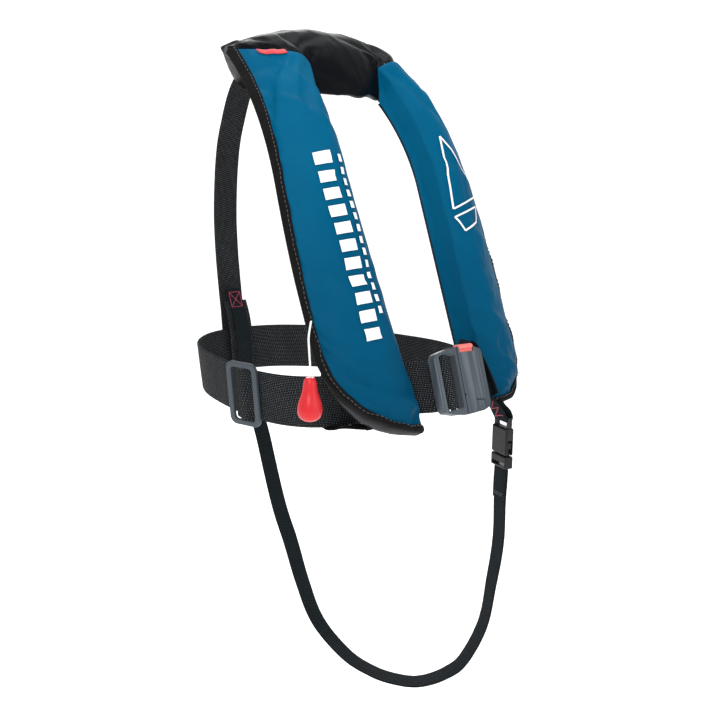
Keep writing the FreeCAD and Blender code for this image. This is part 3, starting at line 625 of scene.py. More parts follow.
def metre_uvs(grid):
    """Coordinates across and along a grid in metres."""
    across = np.linalg.norm(np.diff(grid, axis=1), axis=2)
    along = np.linalg.norm(np.diff(grid, axis=0), axis=2)
    u = np.concatenate([np.zeros((grid.shape[0], 1)), np.cumsum(across, axis=1)], 1)
    v = np.concatenate([np.zeros((1, grid.shape[1])), np.cumsum(along, axis=0)], 0)
    v = np.repeat(v.mean(axis=1, keepdims=True), grid.shape[1], axis=1)
    return np.stack([u, v], 2)


def sample(grid, row, column):
    """Point of a grid at fractional row and column."""
    row = min(max(row, 0.0), grid.shape[0] - 1.001)
    column = min(max(column, 0.0), grid.shape[1] - 1.001)
    r, c = int(row), int(column)
    a, b = row - r, column - c
    return ((grid[r, c] * (1 - b) + grid[r, c + 1] * b) * (1 - a)
            + (grid[r + 1, c] * (1 - b) + grid[r + 1, c + 1] * b) * a)


def front_place(x, s):
    """Fractional row and column on the front sheet of a width and length in mm."""
    share = (x - inner_edge(s)) / (outer_edge(s) - inner_edge(s))
    share = min(max(share, 0.0), 1.0)
    low, high = column_span(share)
    t = min(max((s - low) / (high - low), 0.0), 1.0)
    return t ** (1 / ROW_CROWDING) * (ROWS - 1), share * FRONT_COLUMNS


class Sheet:
    """A surface grid with normals that other pieces can be laid on."""

    def __init__(self, grid):
        self.grid = grid
        self.normals = grid_normals(grid)
        middle = self.normals[grid.shape[0] // 2, grid.shape[1] // 2]
        if middle[1] > 0:
            self.normals *= -1

    def at(self, x, s, lift):
        """Point above the sheet, lift in mm."""
        row, column = front_place(x, s)
        normal = sample(self.normals, row, column)
        return sample(self.grid, row, column) + normal * lift * MM


def push_creases(grid, creases, side):
    """Press soft folds into the front: each has a start, an end, a width and a depth in mm."""
    rows = grid.shape[0]
    for r in range(rows):
        for c in range(WALL_COLUMNS, WALL_COLUMNS + FRONT_COLUMNS + 1):
            share = (c - WALL_COLUMNS) / FRONT_COLUMNS
            low, high = column_span(share)
            s = low + (high - low) * smooth_rows(r / (rows - 1))
            x = inner_edge(s) + (outer_edge(s) - inner_edge(s)) * share
            guard = smooth(min(1 - share, 0.10) / 0.10) * (0.25 + 0.75 * smooth((s - low) / 14.0))
            guard *= smooth((high - s) / 12.0)
            push = 0.0
            for (xa, sa, xb, sb, width, depth) in creases:
                ax, ay = xb - xa, sb - sa
                t = ((x - xa) * ax + (s - sa) * ay) / (ax * ax + ay * ay)
                fade = smooth(1.6 - abs(t - 0.5) * 2.0)
                t = min(max(t, 0.0), 1.0)
                bow = 3.0 * math.sin(t * math.pi)
                d = ((x - xa) * ay - (s - sa) * ax) / math.hypot(ax, ay) - bow
                push += depth * fade * (math.exp(-(d / width) ** 2)
                                        - 0.6 * math.exp(-((d - width * 1.6) / width) ** 2))
            wobble = noise.noise(Vector((x * 0.035, s * 0.022, 3.7 * side)))
            wobble += 0.5 * noise.noise(Vector((x * 0.09, s * 0.05, 9.1 * side)))
            wobble += 0.35 * noise.noise(Vector((x * 0.21, s * 0.10, 5.3 * side)))
            push += wobble * 1.7
            grid[r, c] += lobe_normal(s) * max(-push, -0.7) * guard * MM
    return grid


NEAR_CREASES = [(60, 30, 122, 62, 5.0, 3.4), (58, 8, 112, 34, 4.5, 3.6), (66, -12, 104, 16, 4.0, 3.0),
                (62, 60, 112, 92, 6.0, 2.2), (58, 262, 108, 318, 5.0, 3.0), (80, 240, 118, 268, 6.0, 2.0),
                (70, 120, 120, 128, 8.0, 1.4), (56, 300, 84, 336, 4.0, 2.4), (96, 180, 124, 214, 6.0, 1.6),
                (84, -10, 100, 40, 4.0, 2.2)]
FAR_CREASES = [(58, 62, 104, 20, 5.0, 3.8), (56, 92, 118, 58, 6.0, 2.8), (72, 34, 124, 12, 4.5, 3.2),
               (60, 130, 116, 112, 7.0, 2.0), (62, 288, 106, 330, 5.0, 2.6), (58, 20, 92, -10, 4.0, 3.0),
               (64, 180, 120, 150, 7.0, 1.6), (60, 240, 118, 214, 6.0, 1.6)]


def make_lobe(side):
    """One lobe: front sheet, neck-side wall, back panel, from one simulated pad."""
    start = lobe_grid()
    if side == "left":
        start = raise_tip(start)
    grid = inflate(start, pinned_points(start), **LOBE_PUFF)
    creases = NEAR_CREASES if side == "right" else FAR_CREASES
    grid = push_creases(grid, creases, 1 if side == "left" else 2)
    front = grid[:, WALL_COLUMNS - 1:WALL_COLUMNS + FRONT_COLUMNS + 1]
    wall = grid[:, :WALL_COLUMNS + 1]
    back = np.concatenate([grid[:, WALL_COLUMNS + FRONT_COLUMNS:], grid[:, :1]], axis=1)
    sheet = Sheet(grid[:, WALL_COLUMNS:WALL_COLUMNS + FRONT_COLUMNS + 1])
    turn = mirror_grid if side == "right" else (lambda g: g)

    piece = grid_object(side + "_cover_front", turn(front), M["blue"], uvs=metre_uvs(turn(front)))
    add_thickness(piece, COVER_THICK)
    add_subdivision(piece)
    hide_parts(side + "_cover_flap", side + "_upper_cover")
    blend_flap(piece, side)

    piece = grid_object(side + "_cover_side", turn(wall), M["blue"], uvs=metre_uvs(turn(wall)))
    add_thickness(piece, COVER_THICK)
    add_subdivision(piece)
    finish_piece(piece, "blue_cover", side + "_cover_wall")

    make_end_cap(side, grid)

    lowered = back - lobe_offset(back, 0.9)
    piece = grid_object(side + "_harness_panel", turn(lowered), M["panel"], uvs=metre_uvs(turn(lowered)))
    add_thickness(piece, 0.0012, 1.0)
    finish_piece(piece, "black_cloth", side + "_back_panel")
    return grid, sheet


def raise_tip(grid):
    """Pull the neck-side corner of the lower end up a little."""
    step = lobe_point(0, 0, LEFT_TIP_RAISE) - lobe_point(0, 0, 0)
    for r in range(14):
        for c in range(grid.shape[1]):
            across = 1.0 - smooth((grid[r, c, 0] / MM - 50.0) / 45.0)
            grid[r, c] += step * across * (1.0 - smooth(r / 13))
    return grid


def make_end_cap(side, grid):
    """Gathered black end under the lobe, between its front sheet and its back panel."""
    top = grid[0, WALL_COLUMNS:WALL_COLUMNS + FRONT_COLUMNS + 1]
    line = np.concatenate([grid[0, WALL_COLUMNS + FRONT_COLUMNS:], grid[0, :1]])[::-1]
    under = np.stack([np.interp(top[:, 0], line[:, 0], line[:, k]) for k in range(3)], 1)
    rows = []
    for k in range(9):
        share = k / 8
        belly = lobe_point(0, 0, -2.4 * math.sin(share * math.pi)) - lobe_point(0, 0, 0)
        rows.append(top * (1 - share) + under * share + belly)
    cap = np.array(rows)
    if side == "right":
        cap = mirror_grid(cap)
    piece = grid_object(side + "_end_cap", cap, M["panel"], uvs=metre_uvs(cap))
    add_thickness(piece, COVER_THICK, 0.0)
    finish_piece(piece, "black_cloth")


def lobe_offset(grid, amount):
    """Step towards the wearer for each point of a lobe grid, in metres."""
    steps = np.zeros_like(grid)
    for r in range(grid.shape[0]):
        s = SEAM_INNER * r / grid.shape[0]
        steps[r, :] = lobe_normal(s) * amount * MM
    return steps


def blend_flap(piece, side):
    """Work out the ends of the opening part of a lobe, and bake the piece's place into its mesh; the piece
    does not follow the flap or bend.
    """
    sign = -1 if side == "right" else 1
    start = lobe_point(LOBE_MIDDLE, 0, FLAP_FIXED_AT)
    end = lobe_point(LOBE_MIDDLE, 0, FLAP_FREE_AT)
    start[0] *= sign
    end[0] *= sign
    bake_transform(piece)


def yoke_section():
    """Section of the yoke at the centre plane, as many points as a lobe loop."""
    wall = [(21.5, 284.5), (20.5, 288), (20.6, 292), (21.5, 297), (23.2, 302), (25.8, 308), (29.5, 314)]
    top = [(34, 320.5), (44, 331.5), (58, 341), (75, 347), (92, 348.3), (115, 346.5), (140, 340.5),
           (160, 332), (178, 320), (190, 310), (198, 301)]
    under = [(199, 296), (190, 293), (165, 297), (140, 303), (105, 309.5), (75, 306), (48, 297), (30, 288)]
    wall = spline([(y, z, 0) for y, z in wall + top[:1]], WALL_COLUMNS + 1)[:-1]
    top = spline([(y, z, 0) for y, z in top], FRONT_COLUMNS + 1)
    under = spline([(y, z, 0) for y, z in under], BACK_COLUMNS)
    loop = np.concatenate([wall, top, under[:BACK_COLUMNS - 1]])
    points = np.zeros((len(loop), 3))
    points[:, 1] = loop[:, 0]
    points[:, 2] = loop[:, 1]
    return points * MM


def make_yoke(lobe_top):
    """Black neck yoke between the two seams, blown up and crumpled."""
    middle = yoke_section()
    count = min(len(middle), len(lobe_top))
    lean = path_at(350.0)[2]
    along = np.array([0.0, math.sin(lean), math.cos(lean)])
    rows = []
    half_rows = 26
    for r in range(half_rows + 1):
        t = r / half_rows
        row = []
        for k in range(count):
            p0 = lobe_top[k]
            p3 = middle[k]
            reach = np.linalg.norm(p3 - p0)
            p1 = p0 + along * reach * 0.22 + (p3 - p0) * 0.10
            rear = smooth((p3[1] / MM - 110.0) / 70.0)
            p2 = p3 + np.array([p0[0] * (0.55 - 0.33 * rear), 0, 0])
            row.append((1 - t) ** 3 * p0 + 3 * (1 - t) ** 2 * t * p1
                       + 3 * (1 - t) * t * t * p2 + t ** 3 * p3)
        rows.append(row)
    left = np.array(rows)
    right = left[::-1][1:].copy()
    right[..., 0] *= -1
    grid = np.concatenate([left, right])
    total, columns = grid.shape[:2]
    held = [c for c in range(columns)] + [(total - 1) * columns + c for c in range(columns)]
    grid = inflate(grid, held, **YOKE_PUFF)
    for r in range(total):
        for c in range(columns):
            spot = Vector(grid[r, c] / MM)
            fold = noise.noise(Vector((spot.x * 0.05, spot.y * 0.03, spot.z * 0.03)))
            fold += 0.6 * abs(noise.noise(Vector((spot.x * 0.11, spot.y * 0.05, spot.z * 0.05 + 4))))
            edge = smooth(min(r, total - 1 - r) / 5.0)
            grid[r, c, 2] += fold * 2.4 * edge * MM
    closed = np.concatenate([grid, grid[:, :1]], axis=1)
    piece = grid_object("neck_yoke", grid, M["black"], wrap=True, uvs=metre_uvs(closed)[:, :-1])
    fix_normals(piece)
    add_subdivision(piece)
    finish_piece(piece, "black_cloth", "neck_yoke_cover", "bladder_neck")


def edge_path():
    """Outer edge and rounded lower end of a lobe, with the way inwards, in mm."""
    points = [(outer_edge(s), s) for s in np.arange(SEAM_OUTER - 1, 60, -6.0)]
    curve = spline([(x, s, 0) for x, s in BOTTOM_CURVE[::-1]], 30)
    points += [(p[0], p[1]) for p in curve]
    points = np.array(points)
    tangent = tangents(points)
    inward = np.stack([tangent[:, 1], -tangent[:, 0]], 1)
    return points, inward


# Stitches of the binding: distance in from the edge in mm, then pitch, length and radius in metres
SEW_IN = 3.4
SEW_PITCH, SEW_LENGTH, SEW_RADIUS = 0.0045, 0.0030, 0.00042


def make_binding(side, sheet):
    """Folded tape round the outer edge and the lower end, with its row of stitches."""
    points, inward = edge_path()
    rows = []
    for (x, s), (ix, js) in zip(points, inward):
        row = []
        for d in (5.0, 4.2, 3.0, 1.8, 0.6):
            row.append(sheet.at(x + ix * d, s + js * d, 1.1 if d < 5 else 0.55))
        edge = sheet.at(x, s, 0.0)
        high = float(np.dot(edge - lobe_point(x, 0, s), lobe_normal(s))) / MM
        down = lobe_normal(s) * MM
        out = lobe_point(x - ix, 0, s - js) - lobe_point(x, 0, s)
        row.append(edge + out * 1.6)
        row.append(edge + out * 2.2 - down * 2.0)
        row.append(edge + out * 1.9 - down * min(4.2, high))
        deep = smooth((high - 6.0) / 6.0)
        row.append((lobe_point(x + ix * 2.0, -1.3, s + js * 2.0) * (1 - deep)
                    + (edge + out * 1.6 - down * 6.5) * deep))
        row.append((lobe_point(x + ix * 7.5, -1.4, s + js * 7.5) * (1 - deep)
                    + (edge + out * 1.4 - down * 8.5) * deep))
        rows.append(row)
    grid = np.array(rows)
    if side == "right":
        grid = mirror_grid(grid)
    piece = grid_object(side + "_binding", grid, M["tape"], uvs=metre_uvs(grid))
    add_thickness(piece, 0.0011, 0.0)
    add_subdivision(piece)
    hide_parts(side + "_flap_binding", side + "_upper_binding")
    blend_flap(piece, side)
    line = [sheet.at(x + ix * SEW_IN, s + js * SEW_IN, 1.9) for (x, s), (ix, js) in zip(points, inward)]
    piece = stitches(side + "_binding_stitches", line, SEW_PITCH, SEW_LENGTH, SEW_RADIUS, M["black_thread"],
                     -1 if side == "right" else 1)
    blend_flap(piece, side)


def stitches(name, line, pitch, length, radius, material, sign=1):
    """Row of short raised stitches along a line of points."""
    line = np.array(line)
    if sign < 0:
        line = line * np.array([-1, 1, 1])
    reach = run_lengths(line)
    points = []
    faces = []
    for start in np.arange(0, reach[-1] - length, pitch):
        ring_places = [start, start + length * 0.25, start + length * 0.75, start + length]
        scales = [0.35, 1.0, 1.0, 0.35]
        base = len(points)
        for place, scale in zip(ring_places, scales):
            here = at_length(place, reach, line)
            ahead = at_length(place + 1e-4, reach, line)
            tangent = Vector(ahead - here).normalized()
            if tangent.length < 0.5:
                tangent = Vector((0, 0, 1))
            a = tangent.orthogonal().normalized()
            b = tangent.cross(a)
            for k in range(6):
                angle = k * math.pi / 3
                off = (a * math.cos(angle) + b * math.sin(angle)) * radius * scale
                points.append(here + np.array(off))
        for ring in range(3):
            for k in range(6):
                d = (k + 1) % 6
                faces.append((base + ring * 6 + k, base + ring * 6 + d,
                              base + (ring + 1) * 6 + d, base + (ring + 1) * 6 + k))
        faces.append(tuple(base + k for k in range(5, -1, -1)))
        faces.append(tuple(base + 18 + k for k in range(6)))
    return mesh_object(name, points, faces, material)


# ---------------------------------------------------------------- webbing

BELT_WIDTH = 50.0
BELT_THICK = 2.2
BACK_WIDTH = 32.0
NARROW_WIDTH = 20.0
NARROW_THICK = 1.7

# Across the section of a strap: share of half its width, share of half its thickness
STRAP_SECTION = [(-1.0, 0.35), (-0.98, 0.75), (-0.93, 1.0), (-0.86, 0.88), (-0.45, 0.94), (0.0, 0.97),
                 (0.45, 0.94), (0.86, 0.88), (0.93, 1.0), (0.98, 0.75), (1.0, 0.35)]


class Strap:
    """Webbing through places in mm, with its width along given directions."""

    def __init__(self, places, widths, width, thick, step=3.0, drift=0.25, seed=1.0):
        places = np.array(places, float)
        if np.ndim(widths) == 1:
            widths = np.repeat(np.array([widths], float), len(places), axis=0)
        both = np.concatenate([places, np.array(widths, float)], axis=1)
        rough_length = np.linalg.norm(np.diff(places, axis=0), axis=1).sum()
        both = spline(both, max(8, int(rough_length / step)))
        self.centre = both[:, :3]
        self.tangent = tangents(self.centre)
        across = both[:, 3:]
        across -= self.tangent * (across * self.tangent).sum(1, keepdims=True)
        self.across = across / np.linalg.norm(across, axis=1, keepdims=True)
        self.face = np.cross(self.tangent, self.across)
        self.length = run_lengths(self.centre)
        self.width = width
        self.thick = thick
        for i, run in enumerate(self.length):
            sway = noise.noise(Vector((run * 0.012, seed, 0.0))) * drift * 2
            self.centre[i] += self.face[i] * sway * min(1.0, run / 20, (self.length[-1] - run) / 20)

    def at(self, along, across, lift):
        """Point in metres on the strap: mm along it, mm across it, mm above its face."""
        centre, side, face = [at_length(along, self.length, line)
                              for line in (self.centre, self.across, self.face)]
        return (centre + side * across + face * lift) * MM

    def build(self, name, look, *nodes, body="root"):
        """Closed mesh of the strap, with its weave coordinates in metres, in place of CAD nodes."""
        section = [(u * self.width / 2, h * self.thick / 2) for u, h in STRAP_SECTION]
        section += [(u, -h) for u, h in reversed(section)]
        count = len(section)
        points = []
        uvs = []
        for i in range(len(self.centre)):
            for u, h in section:
                ruffle = 0.12 * noise.noise(Vector((self.length[i] * 0.15, u * 0.1, 5.0)))
                spot = self.centre[i] + self.across[i] * u + self.face[i] * (h + ruffle)
                points.append(spot * MM)
                uvs.append((u * MM, self.length[i] * MM))
        faces = grid_faces(len(self.centre), count, True)
        last = (len(self.centre) - 1) * count
        faces.append(tuple(range(count - 1, -1, -1)))
        faces.append(tuple(last + k for k in range(count)))
        piece = mesh_object(name, points, faces, M[look], uvs)
        fix_normals(piece)
        finish_piece(piece, "black_webbing", *nodes, body=body)
        return piece

    def seam(self, name, corners, material, lift=None, pitch=2.6, length=2.0, radius=0.32):
        """Stitches along a line of (along, across) corners on the strap's face."""
        lift = self.thick / 2 + 0.1 if lift is None else lift
        line = []
        for (a0, b0), (a1, b1) in zip(corners[:-1], corners[1:]):
            for t in np.linspace(0, 1, 12):
                line.append(self.at(a0 + (a1 - a0) * t, b0 + (b1 - b0) * t, lift))
        return stitches(name, line, pitch * MM, length * MM, radius * MM, material)


def box_corners(a0, a1, half):
    """Sewn box with a cross in it, drawn in one run."""
    return [(a0, -half), (a1, -half), (a1, half), (a0, half), (a0, -half), (a1, half),
            (a1, -half), (a0, half)]


# Moulded parts, as placed in the CAD: centres in mm, angles in degrees
BUCKLE_CENTRE = (2.0, -140.0, 25.0)
BUCKLE_LEAN, BUCKLE_YAW = -19.0, -6.3
SLIDER_CENTRE = (-130.5, 27.0, 0.0)
SLIDER_LEAN, SLIDER_TURN = -7.0, 102.0
CLIP_CENTRE = (46.4, -148.5)
CLIP_SIDEWAYS = (0.961, -0.276)


def own_frame(x, y, z, centre, lean, turn):
    """From a leaned and turned part's own frame to the jacket, in mm."""
    lean, turn = math.radians(lean), math.radians(turn)
    y1 = y * math.cos(lean) - z * math.sin(lean)
    z1 = y * math.sin(lean) + z * math.cos(lean)
    return (centre[0] + x * math.cos(turn) - y1 * math.sin(turn),
            centre[1] + x * math.sin(turn) + y1 * math.cos(turn), centre[2] + z1)


def buckle_point(x, y, z):
    """From the buckle's own frame (x along the belt, y into the body, z up) to the jacket, in mm."""
    return own_frame(x, y, z, BUCKLE_CENTRE, BUCKLE_LEAN, BUCKLE_YAW)


def slider_point(x, y, z):
    """From the slider's own frame (x along the belt, y outwards, z up) to the jacket, in mm."""
    return own_frame(x, y, z, SLIDER_CENTRE, SLIDER_LEAN, SLIDER_TURN)


def belt_direction(place):
    """Width direction of the belt: it opens slightly upwards at the sides and back."""
    x, y, _ = place
    outward = np.array([x, y - 60.0, 0.0])
    outward /= np.linalg.norm(outward)
    share = min(max((y + 70.0) / 60.0, 0.0), 1.0)
    return np.array([0, 0, 1.0]) + outward * 0.12 * share


def make_belt():
    """Waist belt from the buckle's fixed half, round the back, to behind the other lobe."""
    up = np.array(buckle_point(0, 0, 1)) - np.array(buckle_point(0, 0, 0))
    front = [buckle_point(22.2, 12.6, 0), buckle_point(25.6, 18.6, 0), buckle_point(31.0, 22.6, 0)]
    side = [(43.4, -100.5, 20), (45, -92, 16), (57, -71, 8), (78, -54, 2), (99, -41, 0), (116, -18, 0),
            (123, 14, 0), (121, 50, 0), (110, 110, 0), (96, 149, 0), (75, 181, 0), (42, 207, 0)]
    back = [(-x, y, z) for x, y, z in side[:3:-1]] + [(-78, -54, 1)]
    places = front + side + [(0, 217, 0)] + back + [(-62, -66.5, 4), (-57, -72.4, 6)]
    widths = [up * 1.0 for _ in front] + [belt_direction(p) for p in places[3:]]
    belt = Strap(places, widths, BELT_WIDTH, BELT_THICK, 4.0, 0.6)
    belt.build("waist_webbing", "webbing", "waist_belt", "buckle_female_webbing")

    places = [(-60, -66, 4), (-55, -74.5, 7), (-46, -90, 12), (-37.5, -104, 16.5)]
    loop = [(-31.0, 19.0), (-27.5, 13.8), (-24.8, 9.8), (-23.4, 7.0), (-22.4, 4.4), (-20.2, 3.0),
            (-17.5, 2.5), (-14.9, 3.0), (-13.2, 5.2), (-12.8, 8.2), (-14.2, 10.9), (-17.4, 12.4),
            (-21.8, 13.2), (-26.4, 15.8)]
    places += [buckle_point(x, y, 0) for x, y in loop]
    widths = [np.array([0, 0, 1.0])] * 2 + [np.array([0, -0.1, 1.0]), up] + [up] * len(loop)
    end = Strap(places, widths, BELT_WIDTH - 1.0, 1.5, 1.2, 0.0)
    piece = end.build("buckle_bar_webbing", "webbing", "buckle_male_webbing", body=None)
    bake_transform(piece)

    wrap = [(-13.5, -4.4), (-10.5, -3.1), (-6.5, -1.3), (-3.6, 1.5), (0, 2.8), (3.6, 1.5),
            (6.5, -1.3), (10.5, -3.1), (13.5, -4.4)]
    tilt = np.array(slider_point(0, 0, 1)) - np.array(slider_point(0, 0, 0))
    fold = Strap([slider_point(x, y + 0.1, -0.4) for x, y in wrap], tilt, BELT_WIDTH + 1.4, 1.5, 1.2, 0.0)
    fold.build("slider_fold", "webbing", "slider_webbing", body="slider")


def make_back_strap():
    """Wide strap from the yoke to the belt, with the narrow strap sewn on by a red box stitch."""
    yz = [(176, 326), (190, 319), (203, 307), (214, 291), (224, 268), (234, 238), (240, 197),
          (242, 155), (239, 112), (234, 72), (229, 42), (225, 10), (222, -15), (220.8, -28),
          (218.5, -37), (214.8, -39.2), (210.8, -36.5), (209, -30), (208.5, -14), (211, 12),
          (216.5, 38), (224, 56)]
    strap = Strap([(0, y, z) for y, z in yz], (1, 0, 0), BACK_WIDTH, BELT_THICK, 2.6, 0.5, 3.0)
    strap.build("back_webbing", "webbing", "back_strap")

    yz = [(226.5, 70), (224.6, 62), (219.6, 50), (212.4, 35), (206.4, 12), (204.6, -14), (203, -36)]
    tail = Strap([(0, y, z) for y, z in yz], (1, 0, 0), NARROW_WIDTH, NARROW_THICK, 2.2, 0.0)
    tail.build("crotch_webbing_end", "narrow", "crotch_strap_anchor")
    face = -tail.thick / 2 - 0.1 if tail.face[4][1] > 0 else tail.thick / 2 + 0.1
    sewing = tail.seam("red_box_stitch", box_corners(4.0, 22.0, 7.5), M["red_thread"], face,
                       pitch=2.0, length=1.7, radius=0.42)
    finish_piece(sewing, "red_thread", "back_strap_tacks")


def clip_side(out, z):
    """Point beside the clip's middle plane at one height, in mm."""
    return CLIP_CENTRE[0] + CLIP_SIDEWAYS[0] * out, CLIP_CENTRE[1] + CLIP_SIDEWAYS[1] * out, z


def make_crotch_strap():
    """Long narrow strap from the back of the belt, down, and up to the clip with a half twist."""
    places = [(0, 202, -31), (0, 196, -46), (0, 188, -62), (0, 171, -92), (0, 141, -167),
              (0, 118, -208), (0, 96, -250), (1, 68, -288), (5, 25, -314), (10, -13, -321),
              (15, -49, -317), (21, -75, -309), (29, -100, -293), (36, -118, -273),
              (42, -136, -230), (45, -143, -182), (46, -148, -140), (46.4, -148.5, -100)]
    places += [clip_side(1.0, -80), clip_side(1.3, -67), clip_side(0.9, -63.8), clip_side(0, -62.8),
               clip_side(-0.9, -63.8), clip_side(-1.4, -67), clip_side(-1.7, -76), clip_side(-1.5, -97)]
    turns = [0, 0, 0, 0, 0, 0, 5, 11, 19, 28, 38, 48, 55, 60, 64, 68, 71, 73] + [74] * 8
    widths = [(math.cos(math.radians(a)), math.sin(math.radians(a)), 0) for a in turns]
    strap = Strap(places, widths, NARROW_WIDTH, NARROW_THICK, 2.4, 0.7, 8.0)
    piece = strap.build("crotch_webbing", "narrow", "crotch_strap", body=None)
    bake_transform(piece)
    total = strap.length[-1]
    for number, side in enumerate((1, -1)):
        lift = side * (strap.thick / 2 + 0.1)
        tack = strap.seam("clip_bar_tack_%d" % number, [(total - 6, -7), (total - 6, 7), (total - 4, 7),
                          (total - 4, -7)], M["black_thread"], lift, pitch=1.6, length=1.4, radius=0.4)
        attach(tack, "crotch_loop")


def tab_leg(out, z):
    """Point beside the middle plane of the crotch tab at one height, in mm."""
    lean = (49.0 - z) * 0.54
    bow = 5.5 * math.sin(min(max((52.0 - z) / 60.0, 0.0), 1.0) * math.pi * 0.75)
    return (38.0 + bow + 0.97 * out, -108.0 - lean - 0.25 * out, z)


def make_crotch_tab():
    """Narrow webbing tab over the belt beside the buckle, folded round the clip's bar."""
    places = [tab_leg(3.7, z) for z in (2, 14, 26, 39)]
    places += [tab_leg(3.5, 48), tab_leg(1.9, 51.6), tab_leg(-1.9, 51.6), tab_leg(-3.5, 48)]
    places += [tab_leg(-3.9, z) for z in (39, 26, 14, 3)]
    places += [(42.4, -139.6, -6), (43.2, -143.6, -11), clip_side(-3.0, -16), clip_side(-1.6, -19.4),
               clip_side(1.6, -19.4), clip_side(3.2, -16), clip_side(2.6, -12), (47.4, -143.6, -6.5),
               (46.2, -139.4, -1.5)]
    strap = Strap(places, (0.25, 0.97, 0.0), NARROW_WIDTH, 1.6, 1.6, 0.0)
    piece = strap.build("crotch_tab_webbing", "narrow", "crotch_tab", body=None)
    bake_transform(piece)
    lift = strap.thick / 2 + 0.15
    if strap.at(100.0, 0, lift)[0] > strap.at(100.0, 0, -lift)[0]:
        lift = -lift
    upper = strap.seam("tab_tack_upper", [(101, -6), (101, 6), (103.5, 6), (103.5, -6)], M["red_thread"],
                       lift, pitch=1.5, length=1.5, radius=0.45)
    lower = strap.seam("tab_tack_lower", [(126, -7), (130, 7), (134, -7), (138, 7), (142, -7)],
                       M["red_thread"], lift, pitch=1.7, length=1.6, radius=0.45)
    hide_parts("crotch_tab_tacks")
    for piece in (upper, lower):
        finish_piece(piece, "red_thread")


def make_belt_loops():
    """Flat loops behind the lobes that the belt runs through."""
    yz = [(-84.6, 31), (-102.6, -12), (-99.8, -15), (-90, -17), (-70, -20.5), (-54, -25.5),
          (-44, -26.5), (-38, -20), (-38, 22),
          (-44, 30.5), (-70, 33), (-80.5, 34)]
    for side, x in (("left", 78), ("right", -78)):
        loop = Strap([(x, y, z) for y, z in yz], (1, 0, 0), 22.0, 1.5, 2.5, 0.0)
        loop.build(side + "_belt_loop_webbing", "tape", "belt_loops")


def make_cord():
    """Two-strand white cord from the lobe's edge down into the toggle."""
    places = [(-130.5, -73.0, 84.0), (-134.0, -76.0, 80.0), (-139.2, -80.3, 71.0), (-142.2, -85.1, 58.0),
              (-142.8, -87.0, 46.0), (-142.8, -87.0, 33.0)]
    path = spline(places, 96)
    rows = []
    for spot, ahead, run in zip(path, tangents(path), run_lengths(path)):
        a = np.array(Vector(ahead).cross(Vector((0, 1, 0))).normalized())
        b = np.cross(ahead, a)
        row = []
        for k in range(16):
            angle = k / 16 * 2 * math.pi
            radius = 0.66 + 0.34 * abs(math.cos(1.5 * (angle - run * 1.3)))
            row.append((spot + (a * math.cos(angle) + b * math.sin(angle)) * radius) * MM)
        rows.append(row)
    piece = grid_object("twisted_pull_cord", np.array(rows), M["white"], wrap=True)
    fix_normals(piece)
    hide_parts("pull_cord")
    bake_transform(piece)


# ---------------------------------------------------------------- inside the lobes

def bladder_section(s, keep_low):
    """Folded bladder across one lobe: four stacked pleats, lower where hardware lies on them."""
    x0 = inner_edge(s) + 7.5
    x1 = outer_edge(s) - 9.5
    turn = x0 + 0.52 * (x1 - x0)
    rims = []
    for k in range(4):
        reach = turn if (k > 0 and not keep_low) else x1 - 3.5 * k
        height = (2.9 + 1.5 * k) if keep_low or k == 0 else 4.4 + 5.6 * k
        rims.append((x0 + 0.8 * (k % 2), reach, min(height, 22.5), min(1.2 if keep_low else 4.4, 4.4)))
    return rims


def make_bladders():
    """Yellow bladder folded flat in each lobe, in pleats that follow the lobe."""
    for side, sign in (("left", 1), ("right", -1)):
        start = 30.0 if side == "left" else 6.0
        stop = 190.0 if side == "left" else 205.0
        for number in range(4):
            loops = []
            for s in np.linspace(-12.0, 296.0, 74):
                low = max(bottom_at(110.0) + 22.0, -10.0) if number == 0 else -6.0
                s = max(s, low)
                bay = smooth((s - start + 6) / 12.0) * smooth((stop + 6 - s) / 12.0)
                a = bladder_section(s, False)[number]
                b = bladder_section(s, True)[number]
                x0, x1, base, thick = [p * (1 - bay) + q * bay for p, q in zip(a, b)]
                end = smooth((s + 14.0) / 30.0)
                x0 = x0 + (1 - end) * 6.0
                x1 = x1 - (1 - end) * 26.0 - number * 0.8
                row = []
                for k in range(24):
                    angle = k / 24 * 2 * math.pi
                    cx = abs(math.cos(angle)) ** 0.35 * (1 if math.cos(angle) > 0 else -1)
                    cz = abs(math.sin(angle)) ** 0.7 * (1 if math.sin(angle) > 0 else -1)
                    crumple = 0.5 * noise.noise(Vector((s * 0.06, angle * 1.5, number + sign * 4.0)))
                    x = (x0 + x1) / 2 + cx * (x1 - x0) / 2
                    n = base + thick / 2 + cz * (thick / 2 - 0.1) + crumple * min(thick, 2.0) * 0.5
                    point = lobe_point(x, n, s)
                    point[0] *= sign
                    row.append(point)
                loops.append(row)
            piece = grid_object("%s_bladder_fold_%d" % (side, number), np.array(loops), M["yellow"],
                                wrap=True)
            work = bmesh.new()
            work.from_mesh(piece.data)
            bmesh.ops.holes_fill(work, edges=[e for e in work.edges if e.is_boundary])
            bmesh.ops.recalc_face_normals(work, faces=work.faces)
            work.to_mesh(piece.data)
            work.free()
            finish_piece(piece, "bladder", "bladder_%s_arm" % side)


# ---------------------------------------------------------------- graphics

